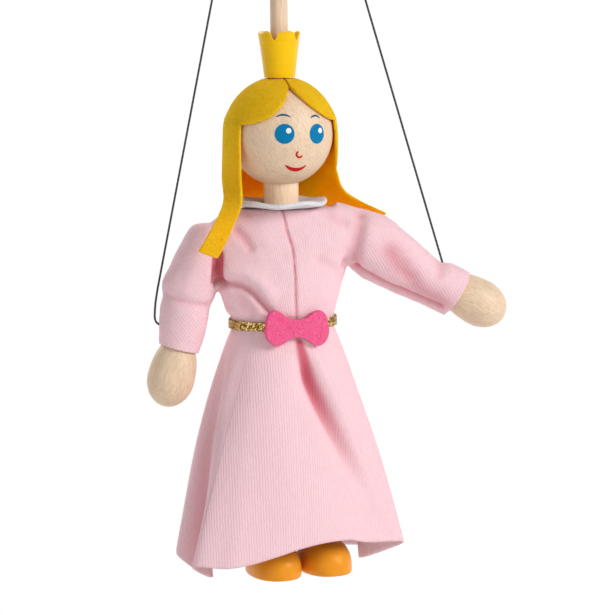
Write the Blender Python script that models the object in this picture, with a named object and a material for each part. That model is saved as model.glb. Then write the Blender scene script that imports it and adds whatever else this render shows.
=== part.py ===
"""Princess puppet: a turned beech rod marionette with felt hair and a jersey dress.

Metres, +Z up. The puppet faces -Y and its left hand is at +X. The pieces are placed by their height
above the soles under one empty, which puts the flat top of the control rod on the origin.
"""
import math

import bmesh
import bpy
from mathutils import Matrix, Vector

# Fits
CLEAR = 0.0003          # gap between pieces that touch
SWING_CLEAR = 0.0008    # gap between a sleeve's round end and the bodice
FAR = 0.06              # reach of a cutter that passes clear of the piece it cuts

# Control rod
ROD_D = 0.006
ROD_ABOVE_CROWN = 0.106
ROD_CHAMFER = 0.0006
ROD_FOOT = 0.012        # length glued into the torso below the shoulder bar
TIE_HOLE_D = 0.0019
TIE_HOLE_DROP = 0.011   # from the rod's top face to the tie hole

# Head, neck and crown
HEAD_D = 0.036
NECK_D = 0.012
NECK_LENGTH = 0.0135
NECK_SOCKET = 0.0045
CROWN_H = 0.0162
CROWN_TOP_D = 0.0147
CROWN_BASE_D = 0.0112
CROWN_WALL = 0.0017
CROWN_HOLLOW = 0.009
NOTCHES = 5
NOTCH_W = 0.0027
NOTCH_H = 0.0028
NOTCH_TURN = math.radians(-26.0)

# Felt hair
FELT = 0.0013
HAIR_TOP = math.radians(77.0)
HAIR_SIDE = math.radians(112.0)
FRINGE_LOW = math.radians(10.0)
FRINGE_RISE = math.radians(48.0)
FRINGE_WIDTH = math.radians(18.5)
LOCK_FRONT = math.radians(65.0)
BACK_HAIR_ABOVE = 0.0013    # from the shoulders' top to the back hair's lower edge
BACK_HAIR_FLARE = 0.0022

# Felt collar
COLLAR_D = 0.032
COLLAR_T = 0.0016
COLLAR_WAVE = 0.0005

# Torso and shoulder bar
SHOULDER_Z = 0.117
SHOULDER_X = 0.026
SHOULDER_TURN = math.radians(12.0)    # the bar is glued with its left end forward
BAR_H = 0.007
BAR_T = 0.0084
TORSO_D = 0.021
TORSO_TOP_D = 0.013
TORSO_WIDEST = 0.006    # from the waist up to the torso's widest turn
TORSO_ROUND = 0.003
TONGUE_W = 0.010
TONGUE_T = 0.008

# Arms and hands
ARM_D = 0.006
TENON_T = 0.003
TENON_W = 0.0054
PIN_D = 0.0015
HAND_REACH = 0.0357     # from the shoulder pin to the hand's inner end
HAND_L = 0.024
HAND_D = 0.0164
HAND_WIDEST = 0.014
HAND_EGG = 0.016        # half length of the egg's slow end
SPIGOT_D = 0.0042
SPIGOT_L = 0.008
ARM_REST_RIGHT = math.radians(74.6)     # below level, as the strings hold them
ARM_REST_LEFT = math.radians(29.6)
ARM_STOP = math.radians(3.0)            # above level

# Legs and shoes
HIP_Z = 0.068
HIP_FORWARD = 0.005     # the hips hang before the rod and a little to the puppet's left
HIP_ASIDE = 0.003
LEG_D = 0.008
HIP_PIN_D = 0.0016
PIN_HEAD_D = 0.004
PIN_HEAD_T = 0.0008
SHOE_W = 0.018
SHOE_L = 0.027
SHOE_H = 0.012
SHOE_EDGE = 0.0008
LEG_IN_SHOE = 0.006

# Dress
CLOTH = 0.0009
WAIST_Z = 0.088
WAIST_W = 0.0364
WAIST_DEPTH = 0.026
CHEST_W = 0.048
CHEST_DEPTH = 0.0245
BODICE_TWIST = 0.7      # share of the bodice's height over which it turns with the shoulders
SHOULDER_DEPTH = 0.0195
YOKE_ROUND = 0.005      # how far the shoulders round in towards their top
SKIRT_SWELL = 0.0016
PLEAT_DEPTH = 0.0032
PLEAT_WIDTH = 0.17      # the front pleat in radians round the waist: half width, start and slant
PLEAT_START = 0.06
PLEAT_SLANT = 0.95
SLEEVE_R = 0.008
CUFF_R = 0.007
CUFF_OVER_HAND = 0.003
SLEEVE_FULL_RIGHT = 0.0108
SLEEVE_FULL_LEFT = 0.0096
SLEEVE_UNDER = 0.0079

# Belt and bow
BELT_W = 0.0032
BELT_T = 0.0008
BELT_SPARE = 0.0006     # straight cloth above and below the belt
BOW_W = 0.025
BOW_H = 0.0138
BOW_T = 0.002
BOW_KNOT_H = 0.0064
BOW_DROP = 0.0015

# Strings
STRING_D = 0.0009
STRING_BEND = 0.0024
TIE_BEFORE_HAND = 0.003
TOUCH_BEFORE_TIE = 0.012    # where the right string starts to follow the sleeve
LEAVE_BEFORE_TIE = 0.0057   # where it starts to turn in to the wrist
STRING_OFF_SLEEVE = 0.0014
STRING_HOLE_SPARE = 0.0012
STRING_POINTS = 34

# Values worked out from the sizes above
HEAD_R = HEAD_D / 2
ROD_R = ROD_D / 2
ARM_R = ARM_D / 2
HAND_R = HAND_D / 2
FELT_IN = HEAD_R + CLEAR
SOCKET_R = SLEEVE_R + SWING_CLEAR
SHOULDER_TOP = SHOULDER_Z + SOCKET_R + CLOTH
TORSO_TOP = SHOULDER_TOP - CLOTH - CLEAR
HEAD_Z = TORSO_TOP + 2 * CLEAR + NECK_LENGTH - NECK_SOCKET + HEAD_R
CROWN_SEAT_R = FELT_IN + FELT + CLEAR
CROWN_BASE_Z = HEAD_Z + math.sqrt(CROWN_SEAT_R ** 2 - (CROWN_BASE_D / 2) ** 2)
ROD_TOP = CROWN_BASE_Z + CROWN_H + ROD_ABOVE_CROWN
TIE_Z = ROD_TOP - TIE_HOLE_DROP
HIP_X = TONGUE_W / 2 + CLEAR + LEG_D / 2
BACK_HAIR_DROP = HEAD_Z - SHOULDER_TOP - BACK_HAIR_ABOVE
WRIST_TIE = HAND_REACH - TIE_BEFORE_HAND      # from the shoulder pin to the wrist tie
WAIST_A = WAIST_W / 2
WAIST_B = WAIST_DEPTH / 2
FLAP_ANGLE = ARM_STOP + math.radians(70.0)

# Hem of the skirt, anticlockwise from the front middle: across, front to back, height above the soles
HEM = (
    (-0.0036, -0.0265, 0.0129), (0.0064, -0.0250, 0.0141), (0.0160, -0.0220, 0.0136), (0.0245, -0.0175, 0.0111),
    (0.0420, -0.0080, 0.0076), (0.0290, 0.0020, 0.0012), (0.0350, 0.0120, 0.0030), (0.0200, 0.0230, 0.0020),
    (-0.0040, 0.0250, 0.0010), (-0.0260, 0.0210, 0.0020), (-0.0405, -0.0020, 0.0058), (-0.0322, -0.0070, 0.0012),
    (-0.0362, -0.0220, 0.0078), (-0.0275, -0.0258, 0.0088), (-0.0216, -0.0265, 0.0090), (-0.0112, -0.0270, 0.0112),
)
HEM_A = max(x for x, _, _ in HEM)
HEM_B = max(y for _, y, _ in HEM)

# Locks of hair, from the head down: front edge and back edge of each row, heights from the shoulders' top
LOCK_RIGHT = (
    ((-0.0178, -0.0098, 0.0133), (-0.0196, 0.0030, 0.0133)),
    ((-0.0182, -0.0112, 0.0038), (-0.0228, -0.0055, 0.0038)),
    ((-0.0225, -0.0116, -0.0067), (-0.0290, -0.0112, -0.0055)),
    ((-0.0272, -0.0106, -0.0162), (-0.0342, -0.0106, -0.0142)),
)
LOCK_LEFT = (
    ((0.0198, 0.0000, 0.0153), (0.0182, 0.0066, 0.0153)),
    ((0.0244, 0.0062, 0.0073), (0.0212, 0.0080, 0.0038)),
    ((0.0322, 0.0108, 0.0023), (0.0250, 0.0112, -0.0042)),
    ((0.0405, 0.0106, -0.0017), (0.0345, 0.0106, -0.0082)),
)


def clear_scene():
    for item in list(bpy.data.objects):
        bpy.data.objects.remove(item, do_unlink=True)


def paint(name, colour, roughness, metallic=0.0):
    """A plain Principled material."""
    made = bpy.data.materials.new(name)
    made.use_nodes = True
    shader = made.node_tree.nodes["Principled BSDF"]
    shader.inputs["Base Color"].default_value = (*colour, 1.0)
    shader.inputs["Roughness"].default_value = roughness
    shader.inputs["Metallic"].default_value = metallic
    return made


def empty(name, parent, location):
    made = bpy.data.objects.new(name, None)
    bpy.context.collection.objects.link(made)
    made.parent = parent
    made.location = location
    return made


def finish(name, bm, material, parent, location=(0, 0, 0), rotation=(0, 0, 0), sharp=35.0):
    """Turn a bmesh into a named, smooth-shaded object under its parent."""
    bmesh.ops.remove_doubles(bm, verts=bm.verts, dist=1e-6)
    bmesh.ops.recalc_face_normals(bm, faces=bm.faces)
    mesh = bpy.data.meshes.new(name)
    bm.to_mesh(mesh)
    bm.free()
    mesh.shade_smooth()
    mesh.set_sharp_from_angle(angle=math.radians(sharp))
    made = bpy.data.objects.new(name, mesh)
    bpy.context.collection.objects.link(made)
    made.parent = parent
    made.location = location
    made.rotation_euler = rotation
    if material:
        made.data.materials.append(material)
    return made


def turned(profile, steps):
    """Revolve a profile of (radius, height) points about Z; a closed profile keeps a bore."""
    bm = bmesh.new()
    verts = [bm.verts.new((r, 0, z)) for r, z in profile]
    edges = [bm.edges.new(pair) for pair in zip(verts, verts[1:])]
    if min(r for r, _ in profile) > 1e-7:
        edges.append(bm.edges.new((verts[-1], verts[0])))
    bmesh.ops.spin(bm, geom=verts + edges, cent=(0, 0, 0), axis=(0, 0, 1), angle=2 * math.pi, steps=steps,
                   use_merge=True)
    return bm


def prism(outline, depth):
    """Extrude an XZ outline along Y, centred on Y = 0."""
    bm = bmesh.new()
    face = bm.faces.new([bm.verts.new((x, -depth / 2, z)) for x, z in outline])
    grown = bmesh.ops.extrude_face_region(bm, geom=[face])["geom"]
    bmesh.ops.translate(bm, vec=(0, depth, 0), verts=[v for v in grown if isinstance(v, bmesh.types.BMVert)])
    return bm


def arc(centre, radius, start, end, steps):
    """Points of an arc as (across, up) pairs."""
    angles = [start + (end - start) * i / steps for i in range(steps + 1)]
    return [(centre[0] + radius * math.cos(a), centre[1] + radius * math.sin(a)) for a in angles]


def loft(rings, closed=True):
    """Join rings of points with faces; each ring is a closed or an open row."""
    bm = bmesh.new()
    rows = [[bm.verts.new(p) for p in ring] for ring in rings]
    for low, high in zip(rows, rows[1:]):
        count = len(low) if closed else len(low) - 1
        for i in range(count):
            j = (i + 1) % len(low)
            bm.faces.new((low[i], low[j], high[j], high[i]))
    return bm


def through(points, t, closed=False):
    """A point on the smooth curve through the given points, t from 0 to 1."""
    count = len(points)
    spans = count if closed else count - 1
    place = min(t * spans, spans - 1e-9)
    i = int(place)
    f = place - i

    def at(k):
        return Vector(points[k % count] if closed else points[max(0, min(count - 1, k))])

    a, b, c, d = at(i - 1), at(i), at(i + 1), at(i + 2)
    return 0.5 * (2 * b + (c - a) * f + (2 * a - 5 * b + 4 * c - d) * f ** 2 + (3 * b - a - 3 * c + d) * f ** 3)


def thicken(item, thickness, offset):
    made = item.modifiers.new("thickness", "SOLIDIFY")
    made.thickness = thickness
    made.offset = offset
    made.use_even_offset = True
    return made


def combine(item, other, operation):
    """Boolean an object with a hidden helper object."""
    other.hide_render = True
    other.display_type = "WIRE"
    made = item.modifiers.new(operation.lower(), "BOOLEAN")
    made.operation = operation
    made.solver = "EXACT"
    made.object = other


def cut(item, cutter):
    combine(item, cutter, "DIFFERENCE")


def join(item, other):
    combine(item, other, "UNION")


def rod_cutter(name, parent, start, end, diameter, steps=16):
    """A cylinder from one point to another, for drilling holes."""
    start, end = Vector(start), Vector(end)
    bm = bmesh.new()
    bmesh.ops.create_cone(bm, cap_ends=True, segments=steps, radius1=diameter / 2, radius2=diameter / 2,
                          depth=(end - start).length)
    turn = (end - start).to_track_quat("Z", "Y").to_matrix().to_4x4()
    bmesh.ops.transform(bm, matrix=Matrix.Translation((start + end) / 2) @ turn, verts=bm.verts)
    return finish(name, bm, None, parent)


def box_cutter(name, parent, low, high):
    bm = bmesh.new()
    bmesh.ops.create_cube(bm, size=1.0)
    low, high = Vector(low), Vector(high)
    bmesh.ops.scale(bm, vec=high - low, verts=bm.verts)
    bmesh.ops.translate(bm, vec=(low + high) / 2, verts=bm.verts)
    return finish(name, bm, None, parent)


def on_head(turn, rise, radius):
    """A point about the head's centre: turn from the front towards the puppet's left, rise from level."""
    flat = radius * math.cos(rise)
    return Vector((flat * math.sin(turn), -flat * math.cos(turn), HEAD_Z + radius * math.sin(rise)))


def make_rod(root, shoulders, wood):
    foot = SHOULDER_Z - BAR_H / 2 - ROD_FOOT
    profile = [(0, ROD_TOP), (ROD_R - ROD_CHAMFER, ROD_TOP), (ROD_R, ROD_TOP - ROD_CHAMFER),
               (ROD_R, foot + ROD_CHAMFER), (ROD_R - ROD_CHAMFER, foot), (0, foot)]
    rod = finish("control_rod", turned(profile, 20), wood, root)
    cut(rod, rod_cutter("tie_hole", shoulders, (-ROD_D, 0, TIE_Z), (ROD_D, 0, TIE_Z), TIE_HOLE_D, 12))


def make_head(root, wood):
    bore = ROD_R + CLEAR
    socket = NECK_D / 2 + CLEAR
    top = math.acos(bore / HEAD_R)
    low = -math.acos(socket / HEAD_R)
    ball = [(r, HEAD_Z + z) for r, z in arc((0, 0), HEAD_R, top, low, 13)]
    seat = HEAD_Z - HEAD_R + NECK_SOCKET
    finish("head", turned(ball + [(socket, seat), (bore, seat)], 30), wood, root, sharp=50)

    low_z = TORSO_TOP + CLEAR
    profile = [(bore, low_z + NECK_LENGTH), (NECK_D / 2, low_z + NECK_LENGTH), (NECK_D / 2, low_z), (bore, low_z)]
    finish("neck", turned(profile, 22), wood, root)


def make_crown(root, yellow):
    """A turned cup on the rod, hollow above, seated on the felt, with V notches sawn in its rim."""
    bore = ROD_R + CLEAR
    top = CROWN_BASE_Z + CROWN_H
    rim = CROWN_TOP_D / 2
    base = CROWN_BASE_D / 2
    floor = top - CROWN_HOLLOW
    seat = [(r, HEAD_Z + math.sqrt(CROWN_SEAT_R ** 2 - r ** 2))
            for r in (base, base * 0.75 + bore * 0.25, (base + bore) / 2, bore)]
    waist = (base + (rim - base) * 0.42, CROWN_BASE_Z + CROWN_H * 0.5)
    profile = [(rim - CROWN_WALL, top), (rim, top), waist] + seat + [(bore, floor)]
    profile += [(rim - CROWN_WALL - (rim - base) * 0.5, floor)]
    crown = finish("crown", turned(profile, 33), yellow, root)
    for i in range(NOTCHES):
        wedge = [(-NOTCH_W / 2 - NOTCH_W, NOTCH_H * 2), (0, -NOTCH_H), (NOTCH_W / 2 + NOTCH_W, NOTCH_H * 2)]
        reach = CROWN_TOP_D
        bm = prism(wedge, reach)
        bmesh.ops.translate(bm, vec=(0, -reach / 2 - ROD_R, 0), verts=bm.verts)
        turn = NOTCH_TURN + 2 * math.pi * i / NOTCHES
        cutter = finish(f"notch_{i}", bm, None, root, (0, 0, top), (0, 0, turn))
        cut(crown, cutter)


def fringe_edge(turn):
    """How high the fringe's lower edge lies, by the turn from the parting."""
    return FRINGE_LOW + FRINGE_RISE * math.exp(-(abs(turn) / FRINGE_WIDTH) ** 1.15)


def felt_sheet(name, rows, felt, root, outside):
    """A felt piece laid on its inner surface and thickened outwards."""
    piece = finish(name, loft(rows, closed=False), felt, root, sharp=60)
    mesh = piece.data
    middle = mesh.polygons[len(mesh.polygons) // 2]
    if middle.normal.dot(Vector(outside)) < 0:
        mesh.flip_normals()
    thicken(piece, FELT, 1.0)


def make_hair(root, felt):
    down, across = 7, 12
    for side, name in ((-1, "hair_fringe_right"), (1, "hair_fringe_left")):
        rows = []
        for i in range(down + 1):
            row = []
            for j in range(across + 1):
                share = (j / across) ** 1.4
                edge = fringe_edge(HAIR_SIDE * share)
                rise = edge + (HAIR_TOP - edge) * i / down
                gap = CLEAR / (FELT_IN * math.cos(rise))
                turn = gap + (HAIR_SIDE - gap) * share
                row.append(on_head(side * turn, rise, FELT_IN))
            rows.append(row)
        felt_sheet(name, rows, felt, root, (side, 0, 0.3))

    rows = []
    for i in range(down + 5):
        row = []
        for j in range(across + 1):
            if i <= down:
                rise = HAIR_TOP * (1 - i / down)
                gap = 2 * CLEAR / (FELT_IN * math.cos(rise))
                turn = HAIR_SIDE + gap + (2 * math.pi - 2 * HAIR_SIDE - 2 * gap) * j / across
                row.append(on_head(turn, rise, FELT_IN))
            else:
                drop = (i - down) / 4
                gap = 2 * CLEAR / FELT_IN
                turn = HAIR_SIDE + gap + (2 * math.pi - 2 * HAIR_SIDE - 2 * gap) * j / across
                point = on_head(turn, 0, FELT_IN + BACK_HAIR_FLARE * drop ** 2)
                row.append(point - Vector((0, 0, BACK_HAIR_DROP * drop)))
        rows.append(row)
    felt_sheet("hair_back", rows, felt, root, (0, 1, 0))

    for side, name, lower in ((-1, "hair_lock_right", LOCK_RIGHT), (1, "hair_lock_left", LOCK_LEFT)):
        rise = FRINGE_LOW - 2.5 * CLEAR / FELT_IN
        lift = Vector((0, 0, SHOULDER_TOP))
        front = [on_head(side * LOCK_FRONT, r, FELT_IN) for r in (rise, 0)] + [lift + Vector(p) for p, _ in lower]
        back = [on_head(side * HAIR_SIDE, r, FELT_IN) for r in (rise, 0)] + [lift + Vector(p) for _, p in lower]
        rows = []
        steps = 11
        for i in range(steps + 1):
            a = through(front, i / steps)
            b = through(back, i / steps)
            fade = max(0.0, 1 - i / (steps * 0.75))
            row = []
            for j in range(6):
                flat = a.lerp(b, j / 5)
                turn = side * (LOCK_FRONT + (HAIR_SIDE - LOCK_FRONT) * j / 5)
                round_ = on_head(turn, 0, FELT_IN)
                round_.z = flat.z
                row.append(flat.lerp(round_, fade ** 0.5 if i < 5 else fade * 0.6))
            rows.append(row)
        felt_sheet(name, rows, felt, root, (side, 0, 0))


def make_collar(root, felt):
    """A felt ring round the neck, with a soft wave along its edge."""
    inner = NECK_D / 2 + CLEAR
    outer = COLLAR_D / 2
    low = SHOULDER_TOP + 2 * CLEAR
    profile = [(inner, low), (outer, low), (outer, low + COLLAR_T), (inner, low + COLLAR_T)]
    bm = turned(profile, 30)
    for vert in bm.verts:
        share = (Vector(vert.co.xy).length - inner) / (outer - inner)
        turn = math.atan2(vert.co.y, vert.co.x)
        vert.co.z += COLLAR_WAVE * share * (1 + math.cos(5 * turn + 0.6))
    finish("collar", bm, felt, root)


def make_torso(root, shoulders, hips, wood, wire):
    bore = ROD_R + CLEAR
    foot = SHOULDER_Z - BAR_H / 2 - ROD_FOOT - CLEAR
    bottom = HIP_Z + LEG_D / 2 + CLEAR * 2
    wide = TORSO_D / 2
    profile = [(0, foot), (bore, foot), (bore, TORSO_TOP), (TORSO_TOP_D / 2, TORSO_TOP),
               (wide * 0.93, SHOULDER_Z - BAR_H / 2), (wide, WAIST_Z + TORSO_WIDEST),
               (wide * 0.97, bottom + TORSO_ROUND), (wide * 0.9, bottom), (0, bottom)]
    bm = turned(profile, 24)
    torso = finish("torso", bm, wood, root)
    half = BAR_T / 2 + CLEAR
    high = BAR_H / 2 + CLEAR
    cut(torso, box_cutter("bar_mortise", shoulders, (-TORSO_D, -half, SHOULDER_Z - high),
                          (TORSO_D, half, SHOULDER_Z + high)))

    end = TONGUE_T / 2
    outline = [(-end, bottom - CLEAR)] + arc((0, HIP_Z), end, math.pi, 2 * math.pi, 12) + [(end, bottom - CLEAR)]
    bm = prism(outline, TONGUE_W)
    tongue = finish("hip_tongue", bm, wood, hips, rotation=(0, 0, math.pi / 2))
    hole = HIP_PIN_D + 2 * CLEAR
    cut(tongue, rod_cutter("hip_hole", hips, (-TONGUE_W, 0, HIP_Z), (TONGUE_W, 0, HIP_Z), hole))

    reach = SHOULDER_X + BAR_H / 2
    outline = arc((SHOULDER_X, 0), BAR_H / 2, -math.pi / 2, math.pi / 2, 12)
    outline += arc((-SHOULDER_X, 0), BAR_H / 2, math.pi / 2, 1.5 * math.pi, 12)
    bar = finish("shoulder_bar", prism(outline, BAR_T), wood, shoulders, (0, 0, SHOULDER_Z))
    cut(bar, rod_cutter("bar_bore", shoulders, (0, 0, SHOULDER_Z - BAR_H), (0, 0, SHOULDER_Z + BAR_H), 2 * bore, 24))
    slot = TENON_T / 2 + CLEAR
    for side in (-1, 1):
        inner = SHOULDER_X - TENON_W / 2 - 2 * CLEAR
        x0, x1 = sorted((side * inner, side * (reach + BAR_H)))
        cut(bar, box_cutter("fork", shoulders, (x0, -slot, SHOULDER_Z - BAR_H), (x1, slot, SHOULDER_Z + BAR_H)))
        x = side * SHOULDER_X
        cut(bar, rod_cutter("pin_hole", shoulders, (x, -BAR_T, SHOULDER_Z), (x, BAR_T, SHOULDER_Z),
                            PIN_D + 2 * CLEAR))
        label = "left" if side > 0 else "right"
        pin = [(0, BAR_T / 2), (PIN_D / 2, BAR_T / 2), (PIN_D / 2, -BAR_T / 2), (0, -BAR_T / 2)]
        finish(f"shoulder_pin_{label}", turned(pin, 12), wire, shoulders, (x, 0, SHOULDER_Z), (math.pi / 2, 0, 0))

    shaft = HIP_X + LEG_D / 2 + CLEAR
    tip = shaft + PIN_HEAD_T
    r, head = HIP_PIN_D / 2, PIN_HEAD_D / 2
    pin = [(0, tip), (head, tip), (head, shaft), (r, shaft), (r, -shaft), (head, -shaft), (head, -tip), (0, -tip)]
    finish("hip_pin", turned(pin, 16), wire, hips, (0, 0, HIP_Z), (0, math.pi / 2, 0))


def sleeve_rings(full, under):
    """Rings of the sleeve from beyond the shoulder to the cuff, along +Z: top side at +X, under side at -X."""
    cuff = HAND_REACH + CUFF_OVER_HAND
    sides = 20
    spans = ((0.0, SLEEVE_R, SLEEVE_R, SLEEVE_R), (0.2, SLEEVE_R * 1.01, SLEEVE_R * 0.99, SLEEVE_R),
             (0.52, full, under, SLEEVE_R), (0.82, CUFF_R * 1.2, CUFF_R * 1.05, CUFF_R * 1.05),
             (1.0, CUFF_R, CUFF_R, CUFF_R))
    rings = []
    for lift in (86, 66, 44, 22):
        r = SLEEVE_R * math.cos(math.radians(lift))
        z = -SLEEVE_R * math.sin(math.radians(lift))
        rings.append([(r * math.cos(2 * math.pi * i / sides), r * math.sin(2 * math.pi * i / sides), z)
                      for i in range(sides)])
    steps = 7
    knots = [Vector((s * cuff, top, low)) for s, top, low, _ in spans]
    depths = [Vector((s * cuff, deep, 0)) for s, _, _, deep in spans]
    for k in range(steps + 1):
        z, top, low = through(knots, k / steps)
        deep = through(depths, k / steps).y
        ring = []
        for i in range(sides):
            a = 2 * math.pi * i / sides
            reach = top if math.cos(a) > 0 else low
            ring.append((reach * math.cos(a), deep * math.sin(a), z))
        rings.append(ring)
    return rings


def make_arm(shoulders, side, rest, full, wood, cloth, cord):
    """Arm dowel, hand, sleeve and wrist tie, built along +Z and swung out about the shoulder pin."""
    label = "left" if side > 0 else "right"
    swing = empty(f"arm_{label}_axis", shoulders, (side * SHOULDER_X, 0, SHOULDER_Z))
    swing.rotation_euler = (0, side * (math.pi / 2 + rest), 0)

    start = BAR_H / 2 + 2 * CLEAR
    inside = HAND_REACH - CLEAR
    profile = [(0, inside + SPIGOT_L), (SPIGOT_D / 2, inside + SPIGOT_L), (SPIGOT_D / 2, inside), (ARM_R, inside),
               (ARM_R, start), (0, start)]
    arm = finish(f"arm_{label}", turned(profile, 16), wood, swing)
    half = TENON_W / 2
    outline = arc((0, 0), half, math.pi, 2 * math.pi, 10) + [(half, start + TENON_T), (-half, start + TENON_T)]
    join(arm, finish("tenon", prism(outline, TENON_T), None, swing))
    cut(arm, rod_cutter("tenon_hole", swing, (0, -ARM_D, 0), (0, ARM_D, 0), PIN_D + 2 * CLEAR))

    neck = HAND_R * math.sqrt(1 - (HAND_WIDEST / HAND_EGG) ** 2)
    hole = SPIGOT_D / 2 + CLEAR
    deep = HAND_REACH + SPIGOT_L + CLEAR
    slow = [(HAND_R * math.sqrt(1 - ((HAND_WIDEST - t) / HAND_EGG) ** 2), HAND_REACH + t)
            for t in (HAND_WIDEST * i / 5 for i in range(1, 5))]
    quick = [(HAND_R * math.cos(a), HAND_REACH + HAND_WIDEST + (HAND_L - HAND_WIDEST) * math.sin(a))
             for a in (math.pi / 2 * i / 5 for i in range(5))]
    profile = [(0, deep), (hole, deep), (hole, HAND_REACH), (neck, HAND_REACH)] + slow + quick
    profile.append((0, HAND_REACH + HAND_L))
    finish(f"hand_{label}", turned(profile, 20), wood, swing, sharp=50)

    ring = ARM_R + CLEAR + STRING_D / 2
    loop = [(ring + STRING_D / 2 * math.cos(a), WRIST_TIE + STRING_D / 2 * math.sin(a))
            for a in (2 * math.pi * i / 6 for i in range(6))]
    finish(f"wrist_tie_{label}", turned(loop, 16), cord, swing, sharp=60)

    bm = loft([[(side * -x, y, z) for x, y, z in r] for r in sleeve_rings(full, SLEEVE_UNDER)])
    sleeve = finish(f"sleeve_{label}", bm, cloth, swing, sharp=60)
    thicken(sleeve, CLOTH, -1.0)
    round_in = math.sqrt((SLEEVE_R - CLOTH) ** 2 - (BAR_T / 2) ** 2)
    spread = math.asin(BAR_H / 2 / round_in) + math.radians(4.0)
    high = math.pi - spread - ARM_STOP
    low = -(math.pi - spread) + rest + 2 * math.pi
    middle, half = (high + low) / 2, (low - high) / 2
    reach = round_in * math.cos(half)
    block = box_cutter(f"sleeve_mouth_{label}", swing, (-FAR, -FAR, reach), (FAR, FAR, reach + FAR))
    block.rotation_euler = (0, -side * middle, 0)
    cut(sleeve, block)
    return sleeve


def arm_point(side, rest, along, out):
    """A point beside an arm at rest: along it from the pin, and out from its axis on the upper side."""
    across = along * math.cos(rest) + out * math.sin(rest)
    up = -along * math.sin(rest) + out * math.cos(rest)
    return Vector((side * (SHOULDER_X + across), 0, SHOULDER_Z + up))


def make_string(shoulders, side, rest, knees, cord, sleeve):
    """A taut string from the rod's tie hole to the wrist tie, through a small hole in the sleeve."""
    label = "left" if side > 0 else "right"
    end = arm_point(side, rest, WRIST_TIE, ARM_R + CLEAR + 2 * STRING_D)
    mouth = side * (ROD_R + 2 * CLEAR)
    points = [Vector((side * CLEAR, 0, TIE_Z)), Vector((mouth, 0, TIE_Z))]
    first = Vector(knees[0]) if knees else end
    corner = Vector((mouth + side * STRING_BEND * 0.7, 0, TIE_Z))
    down = (first - corner).normalized()
    for i in range(1, 7):
        t = i / 6
        points.append(points[1] * (1 - t) ** 2 + corner * 2 * t * (1 - t) + (corner + down * STRING_BEND) * t ** 2)
    last = points[-1]
    count = STRING_POINTS - len(points) - 8
    points += [last.lerp(first, i / count) for i in range(1, count if knees else count + 1)]
    if knees:
        tail = [first] + [Vector(k) for k in knees[1:]] + [end]
        points += [through(tail, i / 8) for i in range(9)]
    curve = bpy.data.curves.new(f"string_{label}", "CURVE")
    curve.dimensions = "3D"
    curve.bevel_depth = STRING_D / 2
    curve.bevel_resolution = 2
    curve.use_fill_caps = True
    spline = curve.splines.new("POLY")
    spline.points.add(len(points) - 1)
    for place, point in zip(spline.points, points):
        place.co = (*point, 1)
    curve.materials.append(cord)
    made = bpy.data.objects.new(f"string_{label}", curve)
    bpy.context.collection.objects.link(made)
    made.parent = shoulders
    before = Vector(knees[-1]) if knees else end + (last - end).normalized() * SLEEVE_R
    inward = (end - before).normalized()
    cut(sleeve, rod_cutter(f"string_hole_{label}", shoulders, before - inward * 4 * STRING_D,
                           end + inward * STRING_D, STRING_D + STRING_HOLE_SPARE, 12))


def make_legs(hips, wood, orange):
    for side, label in ((-1, "right"), (1, "left")):
        swing = empty(f"leg_{label}_axis", hips, (side * HIP_X, 0, HIP_Z))
        r = LEG_D / 2
        foot = -HIP_Z + SHOE_H - LEG_IN_SHOE
        profile = [(0, foot), (r, foot)] + arc((0, 0), r, 0, math.pi / 2, 5)[:-1] + [(0, r)]
        leg = finish(f"leg_{label}", turned(profile, 16), wood, swing)
        cut(leg, rod_cutter("leg_hole", swing, (-LEG_D, 0, 0), (LEG_D, 0, 0), HIP_PIN_D + 2 * CLEAR))

        def outline(scale, height):
            ring = []
            for i in range(24):
                a = 2 * math.pi * i / 24
                x = SHOE_W / 2 * scale * math.copysign(abs(math.cos(a)) ** 0.85, math.cos(a))
                y = SHOE_L / 2 * scale * math.copysign(abs(math.sin(a)) ** 0.9, math.sin(a))
                ring.append((x, y, height - HIP_Z))
            return ring

        body = SHOE_H - SHOE_EDGE * 3
        rings = [outline(1 - SHOE_EDGE / (SHOE_W / 2), 0), outline(1, SHOE_EDGE), outline(0.995, SHOE_EDGE * 3)]
        for k in range(1, 6):
            a = math.pi / 2 * k / 6
            rings.append(outline(0.995 * math.cos(a) ** 0.8, SHOE_EDGE * 3 + body * math.sin(a)))
        bm = loft(rings)
        edges = [e for e in bm.edges if e.is_boundary]
        bmesh.ops.holes_fill(bm, edges=edges, sides=0)
        shoe = finish(f"shoe_{label}", bm, orange, swing, sharp=50)
        cut(shoe, rod_cutter("shoe_hole", swing, (0, 0, foot - CLEAR), (0, 0, foot + SHOE_H), LEG_D + 2 * CLEAR, 20))


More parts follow.
